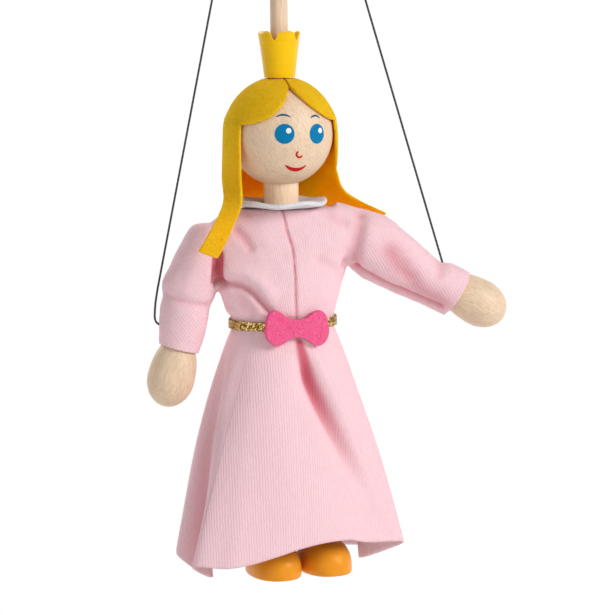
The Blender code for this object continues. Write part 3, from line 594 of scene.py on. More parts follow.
class PUPPET_OT_stage(bpy.types.Operator):
    """Camera, soft lamps, white surroundings and a pale floor"""
    bl_idname = "puppet.stage"
    bl_label = "Stage"

    def execute(self, context):
        self.camera(context.scene)
        self.lamps()
        self.surroundings(context.scene)
        self.floor()
        return DONE

    def camera(self, scene):
        view = scene.puppet_view
        camera = place_in_scene("camera", bpy.data.cameras.new("camera"))
        camera.data.lens = view.lens
        camera.data.sensor_width = SENSOR
        camera.data.clip_start = 0.05
        turn = view.azimuth + view.aside
        ahead = Vector((-math.sin(turn) * math.cos(view.down), math.cos(turn) * math.cos(view.down),
                        -math.sin(view.down)))
        right = ahead.cross(UP).normalized()
        pose = Matrix((right, right.cross(ahead), -ahead)).transposed() @ Matrix.Rotation(view.roll, 3, "Z")
        camera.matrix_world = Matrix.Translation(at(view.distance * math.sin(view.azimuth),
                                                    -view.distance * math.cos(view.azimuth),
                                                    view.height)) @ pose.to_4x4()
        scene.camera = camera

    def lamps(self):
        for name, (place, size, watts) in LAMPS.items():
            lamp = place_in_scene(name, bpy.data.lights.new(name, "AREA"))
            lamp.data.size = size
            lamp.data.energy = watts
            lamp.location = at(0, 0, LOOK_AT) + Vector(place)
            lamp.rotation_euler = (-Vector(place)).to_track_quat("-Z", "Y").to_euler()

    def surroundings(self, scene):
        """A plain white room that lights the puppet softly and is seen as pure white."""
        world = bpy.data.worlds.new("surroundings")
        world.use_nodes = True
        tree = world.node_tree
        room = tree.nodes["Background"]
        room.inputs["Color"].default_value = (*WHITE, 1.0)
        room.inputs["Strength"].default_value = ROOM_LIGHT
        white = add_node(tree, "ShaderNodeBackground", {"Color": (*WHITE, 1.0)})
        path = add_node(tree, "ShaderNodeLightPath").outputs
        seen = add_node(tree, "ShaderNodeMath", {0: path["Is Camera Ray"], 1: path["Is Glossy Ray"]},
                        operation="MAXIMUM")
        both = add_node(tree, "ShaderNodeMixShader", {0: seen.outputs[0], 1: room.outputs[0], 2: white.outputs[0]})
        tree.links.new(both.outputs[0], tree.nodes["World Output"].inputs["Surface"])
        scene.world = world
        scene.view_settings.view_transform = "Standard"

    def floor(self):
        """A pale floor that is seen as white except for the shadow under the puppet."""
        bm = bmesh.new()
        bmesh.ops.create_grid(bm, x_segments=2, y_segments=2, size=FLOOR_HALF)
        bmesh.ops.translate(bm, vec=at(0, 0, FLOOR_BELOW), verts=bm.verts)
        floor = loose("floor", bm)
        box = Paintbox("floor", Roughness=0.9)
        cloud = box.noise(box.coordinates(), 3.0)
        box.into("Base Color", box.ramp(cloud, (0.0, shade(WHITE, 0.94)), (1.0, shade(WHITE, 0.97))))
        glow = box.add("ShaderNodeEmission", {"Color": (*WHITE, 1.0), "Strength": 1.0})
        path = box.add("ShaderNodeLightPath")
        far = box.add("ShaderNodeVectorMath", {0: box.coordinates((1, 1, 0))}, operation="LENGTH").outputs["Value"]
        fade = {"Value": far, "From Min": SHADOW_IN, "From Max": SHADOW_OUT, "To Min": SHADOW_WHITE, "To Max": 1.0}
        white = box.add("ShaderNodeMapRange", fade, interpolation_type="SMOOTHSTEP").outputs["Result"]
        seen = box.math("MAXIMUM", path.outputs["Is Camera Ray"], path.outputs["Is Glossy Ray"])
        share = box.times(seen, white)
        both = box.add("ShaderNodeMixShader", {0: share, 1: box.shader.outputs[0], 2: glow.outputs[0]})
        box.tree.links.new(both.outputs[0], box.tree.nodes["Material Output"].inputs["Surface"])
        floor.data.materials.append(box.made)


# The strings

STRING_BEND = 0.0024        # how tightly a string turns where it leaves the rod
STRING_OVER = SLEEVE_FULL + 0.0014      # the right string lies on the full of its sleeve before it dips to the wrist
STRING_TOUCH = (0.012, 0.0057)      # from the wrist, where it meets the sleeve and where it starts to dip


def string_route(side, thick):
    """The string's centreline from the rod's tie hole to the wrist, as in the solids."""
    out = sideways(side)
    hole = Vector((0, 0, TIE_Z))
    tail = [arm_point(side, WRIST_TIE, ARM_R + CLEAR + 2 * thick)]
    if side == "right":
        tail = [arm_point(side, WRIST_TIE - STRING_TOUCH[0], STRING_OVER),
                arm_point(side, WRIST_TIE - STRING_TOUCH[1], STRING_OVER - thick),
                arm_point(side, WRIST_TIE - thick, STRING_OVER - STRING_BEND)] + tail
    start = hole + out * (ROD_R + 2 * CLEAR)
    corner = start + out * STRING_BEND * 0.7
    down = corner + (tail[0] - corner).normalized() * STRING_BEND
    points = [hole + out * CLEAR, start]
    for t in (i / 6 for i in range(1, 7)):
        points.append(start * (1 - t) ** 2 + corner * 2 * t * (1 - t) + down * t ** 2)
    last = points[-1]
    points += [last.lerp(tail[0], i / 18) for i in range(1, 18)]
    return points + ([through(tail, i / 12) for i in range(13)] if len(tail) > 1 else tail)


def tube(bm, points, radius, sides=10):
    """A tube along a row of points, its UV map in turns round and metres along."""
    lengths = [0.0]
    for a, b in zip(points, points[1:]):
        lengths.append(lengths[-1] + (b - a).length)
    frames = []
    aside = Vector((0, 1, 0))
    for i in range(len(points)):
        ahead = (points[min(i + 1, len(points) - 1)] - points[max(i - 1, 0)]).normalized()
        aside = (aside - ahead * aside.dot(ahead)).normalized()
        frames.append((aside.copy(), ahead.cross(aside)))
    rows = len(points) - 1

    def place(u, v):
        i = round(v * rows)
        (a, b), (c, s) = frames[i], ring(u)
        return points[i] + (a * c + b * s) * radius

    lay_grid(bm, sides, rows, place)
    uv = bm.loops.layers.uv.verify()
    for face in bm.faces:
        for loop in face.loops:
            loop[uv].uv.y = lengths[round(loop[uv].uv.y * rows)]
    close_up(bm, fill=True)


class PUPPET_OT_strings(bpy.types.Operator):
    """The two black strings from the rod to the wrists"""
    bl_idname = "puppet.strings"
    bl_label = "Strings"

    def execute(self, context):
        strings = context.scene.puppet_strings
        black = cord_finish("black_thread", strings.colour)
        for side in SIDES:
            points = string_route(side, strings.diameter)
            length = sum((b - a).length for a, b in zip(points, points[1:]))
            bm = bmesh.new()
            tube(bm, points, strings.diameter / 2)
            made = piece(f"thread_{side}", bm, black, "puppet", [f"string_{side}"])
            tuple(points[0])
            pin, _, _, across = arm_axes(side)
            swing = Matrix.Rotation(-SIDES[side] * SPREAD[side], 3, across)
            anchor = points[1]
            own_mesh(made)
            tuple(anchor)
            finish_solids(black, f"wrist_tie_{side}")
        return DONE


# The head and its face

def on_face(*degrees):
    """Spots on the face, from their turns and rises in degrees."""
    return tuple((math.radians(turn), math.radians(rise)) for turn, rise in degrees)


NECK_SOCKET = 0.0045
NECK_EDGE = 0.0004
EYES = dict(zip(SIDES, on_face((-13.9, 3.2), (25.6, 1.8))))
EYE, GLINT = math.radians(10.8), math.radians(2.9)
GLINT_TURN, GLINT_RISE = math.radians(4.4), math.radians(3.2)
GLINT_WHITE = (0.92, 0.92, 0.92)
BROWS = {
    "right": on_face((-23.4, 21.7), (-19.2, 23.6), (-14.9, 24.0), (-10.7, 23.3), (-6.6, 21.2)),
    "left": on_face((18.7, 19.4), (22.8, 21.2), (26.7, 21.7), (30.3, 20.8), (33.1, 18.3)),
}
NOSE = on_face((1.7, -16.4), (-0.1, -18.7), (1.0, -21.9), (4.4, -23.5), (7.7, -21.6))
MOUTH = on_face((-12.7, -33.0), (-5.9, -37.7), (3.0, -39.9), (11.0, -38.6), (16.6, -34.4))
BROW_DARK = 0.45
BROW_W, NOSE_W, MOUTH_W = 0.00034, 0.00036, 0.00085     # half widths of the strokes
PAINT_LIFT, GLINT_LIFT = 0.00006, 0.00011       # how far the paint stands off the wood
PAINT_SUNK = 0.0001


class PUPPET_OT_head(bpy.types.Operator):
    """Turned head and neck with the painted face"""
    bl_idname = "puppet.head"
    bl_label = "Head"

    def execute(self, context):
        wood = context.scene.puppet_wood
        bare = beech("beech_head", wood.beech, grain=(1, 1, 0.13), turn=(0.25, 0.2, 0.4))
        bore = ROD_R + CLEAR
        socket = NECK_R + CLEAR
        top, low = math.acos(bore / HEAD_R), -math.acos(socket / HEAD_R)
        steps = 56
        ball = [(HEAD_R * math.cos(rise), HEAD_R * math.sin(rise))
                for rise in (low + (top - low) * i / steps for i in range(steps + 1))]
        seat = NECK_SOCKET - HEAD_R
        bm = bmesh.new()
        turn_profile(bm, [(bore, seat), (socket, seat)] + ball, 96)
        bmesh.ops.translate(bm, vec=at(0, 0, HEAD_Z), verts=bm.verts)
        piece("wooden_head", bm, bare, "puppet", ["head"])

        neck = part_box("neck")
        bm = bmesh.new()
        turn_profile(bm, rounded([(bore, neck[0].z), (NECK_R, neck[0].z), (NECK_R, neck[1].z), (bore, neck[1].z)],
                                 NECK_EDGE), 64)
        # painted light: the neck's wood is made 1.2 times lighter against the shade under the head
        plain = beech("beech_neck_painted_lighter", shade(wood.beech, 1.2), grain=(1, 1, 0.08))
        piece("wooden_neck", bm, plain, "puppet", ["neck"])

        blue = face_paint("eye_paint", wood.eyes)
        red = face_paint("lip_paint", wood.lips)
        white = face_paint("glint_paint", GLINT_WHITE)
        for side, (turn, rise) in EYES.items():
            self.disc(f"eye_{side}", turn, rise, EYE, PAINT_LIFT, blue)
            self.disc(f"eye_glint_{side}", turn + GLINT_TURN, rise + GLINT_RISE, GLINT, GLINT_LIFT, white)
        brow = face_paint("brow_paint", shade(wood.eyes, BROW_DARK))
        for side, line in BROWS.items():
            self.stroke(f"brow_{side}", line, BROW_W, brow, ends=0.25)
        self.stroke("nose", NOSE, NOSE_W, red, ends=0.8)
        self.stroke("mouth", MOUTH, MOUTH_W, red, ends=0.12)
        return DONE

    def disc(self, name, turn, rise, radius, lift, material):
        """A round dab of paint on the head; its radius is an angle."""
        bm = bmesh.new()
        lay_grid(bm, 40, 8, lambda u, v: Vector((*ring(u), 0)) * v)
        bmesh.ops.remove_doubles(bm, verts=bm.verts, dist=SAME_PLACE)
        self.lay_on(bm, lambda co: (turn + radius * co.x, rise + radius * co.y), lift)
        piece(name, bm, material, "puppet")

    def stroke(self, name, line, width, material, ends):
        """A brush stroke along a line of (turn, rise) spots, its ends narrowed to a share of its width."""
        bm = bmesh.new()
        flat = [Vector((turn, rise, 0)) for turn, rise in line]

        def place(u, v):
            here = through(flat, v)
            ahead = (through(flat, min(1, v + 0.02)) - through(flat, max(0, v - 0.02))).normalized()
            half = width / HEAD_R * (ends + (1 - ends) * math.sin(math.pi * v) ** 0.7)
            return here + Vector((-ahead.y, ahead.x, 0)) * half * (2 * u - 1)

        lay_grid(bm, 6, 28, place)
        self.lay_on(bm, lambda co: (co.x, co.y), PAINT_LIFT)
        piece(name, bm, material, "puppet")

    def lay_on(self, bm, angles, lift):
        """Bend a flat shape onto the head and give it the paint's thickness."""
        for vert in bm.verts:
            vert.co = on_head(*angles(vert.co), HEAD_R + lift)
        bmesh.ops.recalc_face_normals(bm, faces=bm.faces)
        centre = at(0, 0, HEAD_Z)
        face = next(iter(bm.faces))
        face_towards(bm, face, face.calc_center_median() - centre)
        rim = bmesh.ops.extrude_edge_only(bm, edges=[e for e in bm.edges if e.is_boundary])["geom"]
        for vert in verts_of(rim):
            vert.co = centre + (vert.co - centre).normalized() * (HEAD_R - PAINT_SUNK)


# The crown and the rod

CROWN_FOOT_R, CROWN_RIM_R = 0.0053, 0.0073
CROWN_WALL = 0.0017
CROWN_TALL, CROWN_CUP = 0.0155, 0.009
CROWN_CURVE = 0.16      # share of its flare that grows with the square of the height
CROWN_SHARP = 40
NOTCHES = 5
NOTCH_HALF, NOTCH_DEEP, NOTCH_FLAT = 0.0046, 0.0025, 0.0003
NOTCH_REACH = 0.0147
NOTCH_TURN = math.radians(-33.0)
ROD_EDGE = 0.0006
TIE_HOLE_R = 0.00095


class PUPPET_OT_crown(bpy.types.Operator):
    """The painted crown and the control rod"""
    bl_idname = "puppet.crown"
    bl_label = "Crown and rod"

    def execute(self, context):
        wood = context.scene.puppet_wood
        self.crown(paint("crown_paint", wood.crown, roughness=0.3, lines=0.5))
        self.rod(beech("beech_rod", wood.beech, grain=(1, 1, 0.05)))
        return DONE

    def crown(self, yellow):
        """A turned cup that flares up from its seat on the hair, sawn into five points."""
        bore = ROD_R + CLEAR
        foot, rim, inner = CROWN_FOOT_R, CROWN_RIM_R, CROWN_RIM_R - CROWN_WALL
        low, high = CROWN_BASE_Z, CROWN_BASE_Z + CROWN_TALL
        floor = high - CROWN_CUP
        seat = [(r, HEAD_Z + math.sqrt(CROWN_SEAT_R ** 2 - r ** 2))
                for r in (bore + (foot - bore) * i / 6 for i in range(7))]
        side = [(foot + (rim - foot) * ((1 - CROWN_CURVE) * t + CROWN_CURVE * t * t), low + (high - low) * t)
                for t in (i / 20 for i in range(1, 20))]
        cup = [(rim, high - 0.0003), (rim - 0.0004, high + 0.0002), (inner + 0.0004, high + 0.0002),
               (inner, high - 0.0004), (inner - 0.0008, floor + 0.0005), (inner - 0.0013, floor), (bore, floor)]
        bm = bmesh.new()
        turn_profile(bm, seat + side + cup, 90)
        bmesh.ops.translate(bm, vec=at(0, 0, 0), verts=bm.verts)
        crown = piece("painted_crown", bm, yellow, "puppet", ["crown"], CROWN_SHARP)
        cut_with(crown, [self.saw(NOTCH_TURN + TWO_PI * i / NOTCHES, high) for i in range(NOTCHES)])
        shade_edges(crown, CROWN_SHARP)

    def saw(self, turn, high):
        """A wedge that cuts one notch through the crown's wall."""
        bm = bmesh.new()
        wedge = [(-NOTCH_HALF, NOTCH_DEEP * 2), (-NOTCH_FLAT, -NOTCH_DEEP), (NOTCH_FLAT, -NOTCH_DEEP),
                 (NOTCH_HALF, NOTCH_DEEP * 2)]
        face = bm.faces.new([bm.verts.new((x, -NOTCH_REACH, z)) for x, z in wedge])
        grown = bmesh.ops.extrude_face_region(bm, geom=[face])["geom"]
        bmesh.ops.translate(bm, vec=(0, NOTCH_REACH - ROD_R, 0), verts=verts_of(grown))
        bmesh.ops.transform(bm, matrix=Matrix.Translation(at(0, 0, high)) @ Matrix.Rotation(turn, 4, "Z"),
                            verts=bm.verts)
        bmesh.ops.recalc_face_normals(bm, faces=bm.faces)
        return loose("notch", bm)

    def rod(self, bare):
        """A chamfered dowel with the cross hole that the strings are tied through."""
        bm = bmesh.new()
        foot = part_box("control_rod")[0].z
        turn_profile(bm, [(0, 0), (ROD_R - ROD_EDGE, 0), (ROD_R, -ROD_EDGE), (ROD_R, foot + ROD_EDGE),
                          (ROD_R - ROD_EDGE, foot), (0, foot)], 48)
        rod = piece("wooden_rod", bm, bare, "puppet", ["control_rod"], sharp=30)
        bm = bmesh.new()
        bmesh.ops.create_cone(bm, cap_ends=True, segments=24, radius1=TIE_HOLE_R, radius2=TIE_HOLE_R, depth=0.02)
        bmesh.ops.transform(bm, matrix=Matrix.Translation((0, 0, TIE_Z)) @ Matrix.Rotation(-SHOULDER_TURN, 4, "Z")
                            @ Matrix.Rotation(math.pi / 2, 4, "Y"), verts=bm.verts)
        cut_with(rod, [loose("drill", bm)])


# The felt hair and collar

LOCK_FRONT = math.radians(62.5)
LOCK_TUCK = math.radians(8.0)       # how far a lock reaches up under its fringe
LOCK_UNDER = {"right": 0.0, "left": math.radians(40.0)}     # how far it reaches round under the back hair
# Shares of a lock's length: under its fringe, until it is fully under the back hair, and bent round the head
LOCK_TUCKED, LOCK_UNDER_BY, LOCK_ROUND = 0.2, 0.5, 0.7
# Front and back edge of each lock, downwards
LOCKS = {
    "right": (((-0.0172, -0.0102, 0.1400), (-0.0203, 0.0015, 0.1400)),
              ((-0.0176, -0.0118, 0.1305), (-0.0228, -0.0068, 0.1305)),
              ((-0.0222, -0.0118, 0.1210), (-0.0290, -0.0110, 0.1222)),
              ((-0.0268, -0.0108, 0.1122), (-0.0337, -0.0108, 0.1150))),
    "left": (((0.0212, 0.0030, 0.1420), (0.0085, 0.0150, 0.1420)),
             ((0.0232, 0.0060, 0.1378), (0.0060, 0.0165, 0.1345)),
             ((0.0262, 0.0085, 0.1317), (0.0070, 0.0170, 0.1285)),
             ((0.0318, 0.0104, 0.1280), (0.0180, 0.0145, 0.1240)),
             ((0.0432, 0.0104, 0.1226), (0.0363, 0.0108, 0.1180))),
}
FRINGE_LOW, FRINGE_RISE = math.radians(10.0), math.radians(48.0)
FRINGE_WIDTH = {"right": math.radians(19.5), "left": math.radians(25.0)}
FRINGE_CROWDS = 1.4     # its columns lie closer together towards the parting
OVER_LOCK = 0.0004      # the fringe stands off the head this far to pass over a lock
OVER_TURN, OVER_RISE = 0.2, 0.3     # angles over which it comes away from the head
BACK_NARROW = 0.30
BACK_BEND = 0.58        # share of the back hair that lies on the head before it hangs
BACK_HANG, BACK_SWELL = 0.026, 0.0022
BACK_WAVE, BACK_WAVES = 0.0004, 19.0        # how unevenly it hangs, and how unevenly it is cut
BACK_JAG, BACK_JAGS = 0.0003, 31.0
BACK_OVER = 0.3, 0.45       # where it comes down again from lying over the left lock
FELT_FUZZ, FELT_FUZZ_SCALE, FELT_SEED = 0.00012, 700.0, 4
FELT_SHARP = 80
# Felt colours for the darker and lighter fibres, and for the hair's inner side, painted a deeper orange for the light
# from behind that soaks through it
HAIR_DARK, HAIR_LIGHT = (0.80, 0.29, 0.001), (1.0, 0.66, 0.04)
HAIR_INNER_PAINTED_LIGHT = (1.0, 0.37, 0.001), (0.92, 0.27, 0.0005), (1.0, 0.46, 0.004)
COLLAR_DARK, COLLAR_LIGHT = (0.68, 0.64, 0.70), (0.95, 0.93, 0.95)
COLLAR_R, COLLAR_THICK = 0.016, 0.0016
COLLAR_CUP, COLLAR_WAVE, COLLAR_WAVES = 0.0012, 0.0005, 5


def hair_piece(name, columns, rows, place, outside, materials, node, thickness):
    """A felt sheet laid on its inner surface, and thickened outwards with soft edges.

    The second material is for the inner side, painted a deeper orange for the light that soaks through the felt."""
    bm = bmesh.new()
    lay_grid(bm, columns, rows, place)
    bmesh.ops.remove_doubles(bm, verts=bm.verts, dist=SAME_PLACE)
    noise.seed_set(FELT_SEED)
    for vert in bm.verts:
        vert.co += noise.noise_vector(vert.co * FELT_FUZZ_SCALE) * FELT_FUZZ
    bmesh.ops.recalc_face_normals(bm, faces=bm.faces)
    bm.faces.ensure_lookup_table()
    face_towards(bm, bm.faces[len(bm.faces) // 2 + columns // 2], Vector(outside))
    made = piece(name, bm, materials[0], "puppet", [node], FELT_SHARP)
    made.data.materials.append(materials[1])
    thicken(made, thickness, 1.0).material_offset = 1
    soften(made)


def fringe_edge(turn, side):
    """How high the fringe's lower edge lies, by the turn from the parting."""
    return FRINGE_LOW + FRINGE_RISE * math.exp(-(abs(turn) / FRINGE_WIDTH[side]) ** 1.15)


class PUPPET_OT_hair(bpy.types.Operator):
    """The felt hair: two fringes, two locks and the back"""
    bl_idname = "puppet.hair"
    bl_label = "Hair"

    def execute(self, context):
        cut = context.scene.puppet_felt
        # painted light: the second felt is a deeper orange than the hair, for light from behind soaking through it
        yellow = (felt("hair_felt", cut.hair, HAIR_DARK, HAIR_LIGHT, glow=0.4),
                  felt("hair_felt_inner_painted_light", *HAIR_INNER_PAINTED_LIGHT, glow=1.0))
        for side, sign in SIDES.items():
            def fringe(u, v):
                share = u ** FRINGE_CROWDS
                edge = fringe_edge(HAIR_SIDE * share, side)
                rise = edge + (HAIR_TOP - edge) * v
                gap = CLEAR / (FELT_IN * math.cos(rise))
                turn = gap + (HAIR_SIDE - gap) * share
                over = OVER_LOCK * between(turn, LOCK_FRONT - OVER_TURN, LOCK_FRONT)
                over *= 1 - between(rise, edge, edge + OVER_RISE)
                return on_head(sign * turn, rise, FELT_IN + over)

            hair_piece(f"fringe_{side}", 26, 14, fringe, (sign, 0, 0.3), yellow, f"hair_fringe_{side}",
                       cut.thickness)

        def back(u, v):
            drop = max(0.0, (v - BACK_BEND) / (1 - BACK_BEND))
            rise = HAIR_TOP * max(0.0, 1 - v / BACK_BEND)
            gap = 2 * CLEAR / (FELT_IN * math.cos(rise))
            turn = HAIR_SIDE + gap + (TWO_PI - 2 * HAIR_SIDE - 2 * gap) * u
            turn += BACK_NARROW * drop * (1 - 2 * u)
            wave = BACK_WAVE * math.sin(u * BACK_WAVES + 1.0) * drop
            over = (cut.thickness + CLEAR) * (1 - between(u, *BACK_OVER)) * smooth(drop * 3)
            point = on_head(turn, rise, FELT_IN + BACK_SWELL * drop ** 2 + wave + over)
            return point - UP * (BACK_HANG * drop + BACK_JAG * drop * math.sin(u * BACK_JAGS))

        hair_piece("back_hair", 34, 30, back, (0, 1, 0), yellow, "hair_back", cut.thickness)
        for side, sign in SIDES.items():
            tuck = FRINGE_LOW + LOCK_TUCK
            edges = [[on_head(sign * turn, tuck, FELT_IN - OVER_LOCK), on_head(sign * turn, 0, FELT_IN + OVER_LOCK)]
                     + [at(*row[k]) for row in LOCKS[side]] for k, turn in enumerate((LOCK_FRONT, HAIR_SIDE))]

            def lock(u, v):
                """The lock's own surface, bent round the head at first."""
                point = through(edges[0], v).lerp(through(edges[1], v), u)
                past = between(v, LOCK_TUCKED, LOCK_UNDER_BY)
                under = past * LOCK_UNDER[side]
                round_head = on_head(sign * (LOCK_FRONT + (HAIR_SIDE + under - LOCK_FRONT) * u), 0,
                                     FELT_IN + OVER_LOCK * (2 * smooth(v / LOCK_TUCKED) - 1)
                                     - cut.thickness * u * past * (under > 0))
                round_head.z = point.z
                return point.lerp(round_head, 1 - smooth(v / LOCK_ROUND))

            hair_piece(f"lock_{side}", 10, 34, lock, (sign, -0.2 * sign, 0), yellow, f"hair_lock_{side}",
                       cut.thickness)
        return DONE


class PUPPET_OT_collar(bpy.types.Operator):
    """The white felt collar"""
    bl_idname = "puppet.collar"
    bl_label = "Collar"

    def execute(self, context):
        cut = context.scene.puppet_felt
        white = felt("collar_felt", cut.collar, COLLAR_DARK, COLLAR_LIGHT)
        inner = NECK_R + CLEAR
        low = SHOULDER_TOP + 2 * CLEAR

        def place(u, v):
            c, s = ring(u)
            reach = inner + (COLLAR_R - inner) * v
            lift = COLLAR_CUP * v ** 1.5 + COLLAR_WAVE * v * (1 + math.cos(COLLAR_WAVES * TWO_PI * u + 0.6))
            return at(reach * c, reach * s, low + lift)

        bm = bmesh.new()
        lay_grid(bm, 72, 8, place)
        close_up(bm)
        face_towards(bm, next(iter(bm.faces)), UP)
        made = piece("felt_collar", bm, white, "puppet", ["collar"], FELT_SHARP)
        thicken(made, COLLAR_THICK, 1.0)
        soften(made)
        return DONE


# The dress

# Rings of the bodice: share of its height, half width on the right and on the left, half depth, squareness
BODICE = (
    (-0.14, 0.0182, 0.0182, 0.0130, 2.0), (-0.04, 0.0182, 0.0182, 0.0130, 2.0), (0.055, 0.0183, 0.0183, 0.0131, 2.0),
    (0.10, 0.0198, 0.0188, 0.0139, 2.0), (0.22, 0.0213, 0.0197, 0.0134, 2.1), (0.42, 0.0238, 0.0218, 0.0125, 2.2),
    (0.62, 0.0252, 0.0242, 0.0119, 2.3), (0.76, 0.0268, 0.0286, 0.0113, 2.3), (0.86, 0.0258, 0.0290, 0.0104, 2.3),
    (0.94, 0.0226, 0.0276, 0.0094, 2.3), (0.985, 0.0196, 0.0246, 0.0084, 2.3), (1.012, 0.0172, 0.0196, 0.0076, 2.2),
    (1.022, 0.0130, 0.0130, 0.0066, 2.2),
)
SLEEVE_END = {"right": HAND_REACH + 0.003, "left": HAND_REACH + 0.0055}
SLEEVE_OVER = 0.006     # the sleeve's rings run on past the cuff, where it is cut off
# Rings of the sleeves: reach from the pin, then how far the cloth stands above, below and before the arm
SLEEVES = {
    "right": ((-0.0056, 0.0010, 0.0010, 0.0010), (-0.0046, 0.0046, 0.0050, 0.0046), (-0.0020, 0.0070, 0.0072, 0.0066),
              (0.0040, 0.0086, 0.0080, 0.0078), (0.0120, 0.0102, 0.0078, 0.0084), (0.0180, 0.0112, 0.0077, 0.0084),
              (0.0225, 0.0098, 0.0072, 0.0078), (0.0270, 0.0098, 0.0076, 0.0081), (0.0335, 0.0083, 0.0073, 0.0075),
              (SLEEVE_END["right"], 0.0071, 0.0070, 0.0070),
              (SLEEVE_END["right"] + SLEEVE_OVER, 0.0069, 0.0069, 0.0069)),
    "left": ((-0.0120, 0.0070, 0.0070, 0.0066), (0.0000, 0.0098, 0.0098, 0.0084), (0.0070, 0.0108, 0.0102, 0.0088),
             (0.0160, 0.0092, 0.0099, 0.0086), (0.0250, 0.0070, 0.0091, 0.0081), (0.0305, 0.0060, 0.0085, 0.0078),
             (0.0345, 0.0074, 0.0082, 0.0078), (SLEEVE_END["left"], 0.0078, 0.0078, 0.0077),
             (SLEEVE_END["left"] + SLEEVE_OVER, 0.0076, 0.0076, 0.0076)),
}
FIN_TURN = math.radians(168.0)      # the under seam of the left sleeve stands out as a fin
FIN_WIDTH, FIN_OUT, FIN_STARTS = 0.17, 0.0022, 0.010
# The knit's wales lean along the middle seam, more towards the right sleeve and upright towards the left
WALE_SLANT = 0.18
WALE_ASIDE = {"right": 0.35, "left": -0.22}
WALE_SETTLES = 0.022
WALE_SLEEVE = {"right": math.radians(50.0), "left": math.radians(30.0)}     # from along the sleeve
SEAM_FOOT, SEAM_HEAD = 0.0006, 0.0020     # the middle seam drifts from the left to the right towards the neck
SEAM_BEND = 0.104, 0.130
NEAR_SKIN = 0.004
SKIN_VOXEL = 0.00055
RUMPLES = (0.0004, 95.0), (0.00018, 260.0)      # small unevenness of the cloth, and how close together
# A spot belongs to the body within the first distance from the middle, and to the sleeve beyond the second
KNIT_TURNS = 0.021, 0.029
CUFF_FROM, CUFF_ASIDE = 0.026, 0.0215       # only the skin past these is cut at a cuff
WAIST_WIDE = 0.0212
CUT_NEAR = 0.004
BODICE_TWIST = 0.7      # share of its height over which the bodice turns with the shoulders
CLOTH_SHARP = 180
# Creases of the bodice: points across, front to back and above the soles, then width, depth and redness, the strength
# of the painted shade in the crease
CREASES = (
    (((-0.0230, -0.0005, 0.1020), (-0.0210, -0.0040, 0.1025), (-0.0175, -0.0070, 0.1020), (-0.0150, -0.0085, 0.1005),
      (-0.0135, -0.0095, 0.0995), (-0.0110, -0.0110, 0.0960), (-0.0090, -0.0120, 0.0930)), 0.0013, 0.0022, 0.42),
    (((-0.0185, -0.0065, 0.0985), (-0.0170, -0.0075, 0.0955), (-0.0150, -0.0090, 0.0930)), 0.0030, 0.0010, 0.16),
    (((-0.0205, -0.0050, 0.1075), (-0.0160, -0.0080, 0.1065), (-0.0120, -0.0100, 0.1040),
      (-0.0090, -0.0115, 0.0995)), 0.0026, -0.0014, 0.0),
    (((-0.0020, -0.0060, 0.1280), (-0.0015, -0.0100, 0.1205), (0.0000, -0.0115, 0.1145), (0.0005, -0.0125, 0.1055),
      (0.0005, -0.0130, 0.0885)), 0.00045, 0.0006, 0.75),
    (((0.0220, -0.0080, 0.1020), (0.0160, -0.0115, 0.1060), (0.0095, -0.0125, 0.1100)), 0.0020, 0.0008, 0.1),
    (((-0.0235, -0.0015, 0.1130), (-0.0235, -0.0015, 0.1080), (-0.0230, -0.0005, 0.1030)), 0.0013, 0.0016, 1.0),
    (((-0.0245, -0.0040, 0.1130), (-0.0245, -0.0035, 0.1030)), 0.0011, 0.0008, 1.0),
    (((0.0260, -0.0090, 0.1255), (0.0240, -0.0105, 0.1180), (0.0220, -0.0105, 0.1070)), 0.0022, 0.0018, 0.32),
    (((-0.0180, -0.0045, 0.1210), (-0.0160, -0.0065, 0.1185), (-0.0140, -0.0075, 0.1150)), 0.0016, 0.0009, 0.35),
    (((0.0140, -0.0105, 0.1250), (0.0190, -0.0115, 0.1225)), 0.0020, 0.0007, 0.2),
)
# Creases of the sleeves: side, points by reach from the pin, above the arm and behind it, then the same
SLEEVE_CREASES = (
    ("right", ((0.0215, 0.0100, -0.0030), (0.0222, 0.0030, -0.0085), (0.0215, -0.0060, -0.0050)), 0.0012, 0.0007,
     0.15),
    ("left", ((0.0050, -0.0093, -0.0022), (0.0200, -0.0090, -0.0018), (0.0375, -0.0068, -0.0012)), 0.0015, 0.0022,
     1.0),
    ("left", ((0.0300, 0.0070, -0.0030), (0.0310, 0.0020, -0.0078)), 0.0018, 0.0006, 0.2),
    ("left", ((0.0120, 0.0010, -0.0088), (0.0220, -0.0040, -0.0086)), 0.0038, 0.0010, 0.50),
    ("left", ((0.0240, -0.0050, -0.0070), (0.0370, -0.0060, -0.0050)), 0.0034, 0.0003, 0.40),
)


def seam_drift(z):
    """How far the middle seam lies towards the right at a height."""
    return (SEAM_FOOT + SEAM_HEAD) * between(z - SOLES, *SEAM_BEND) - SEAM_FOOT


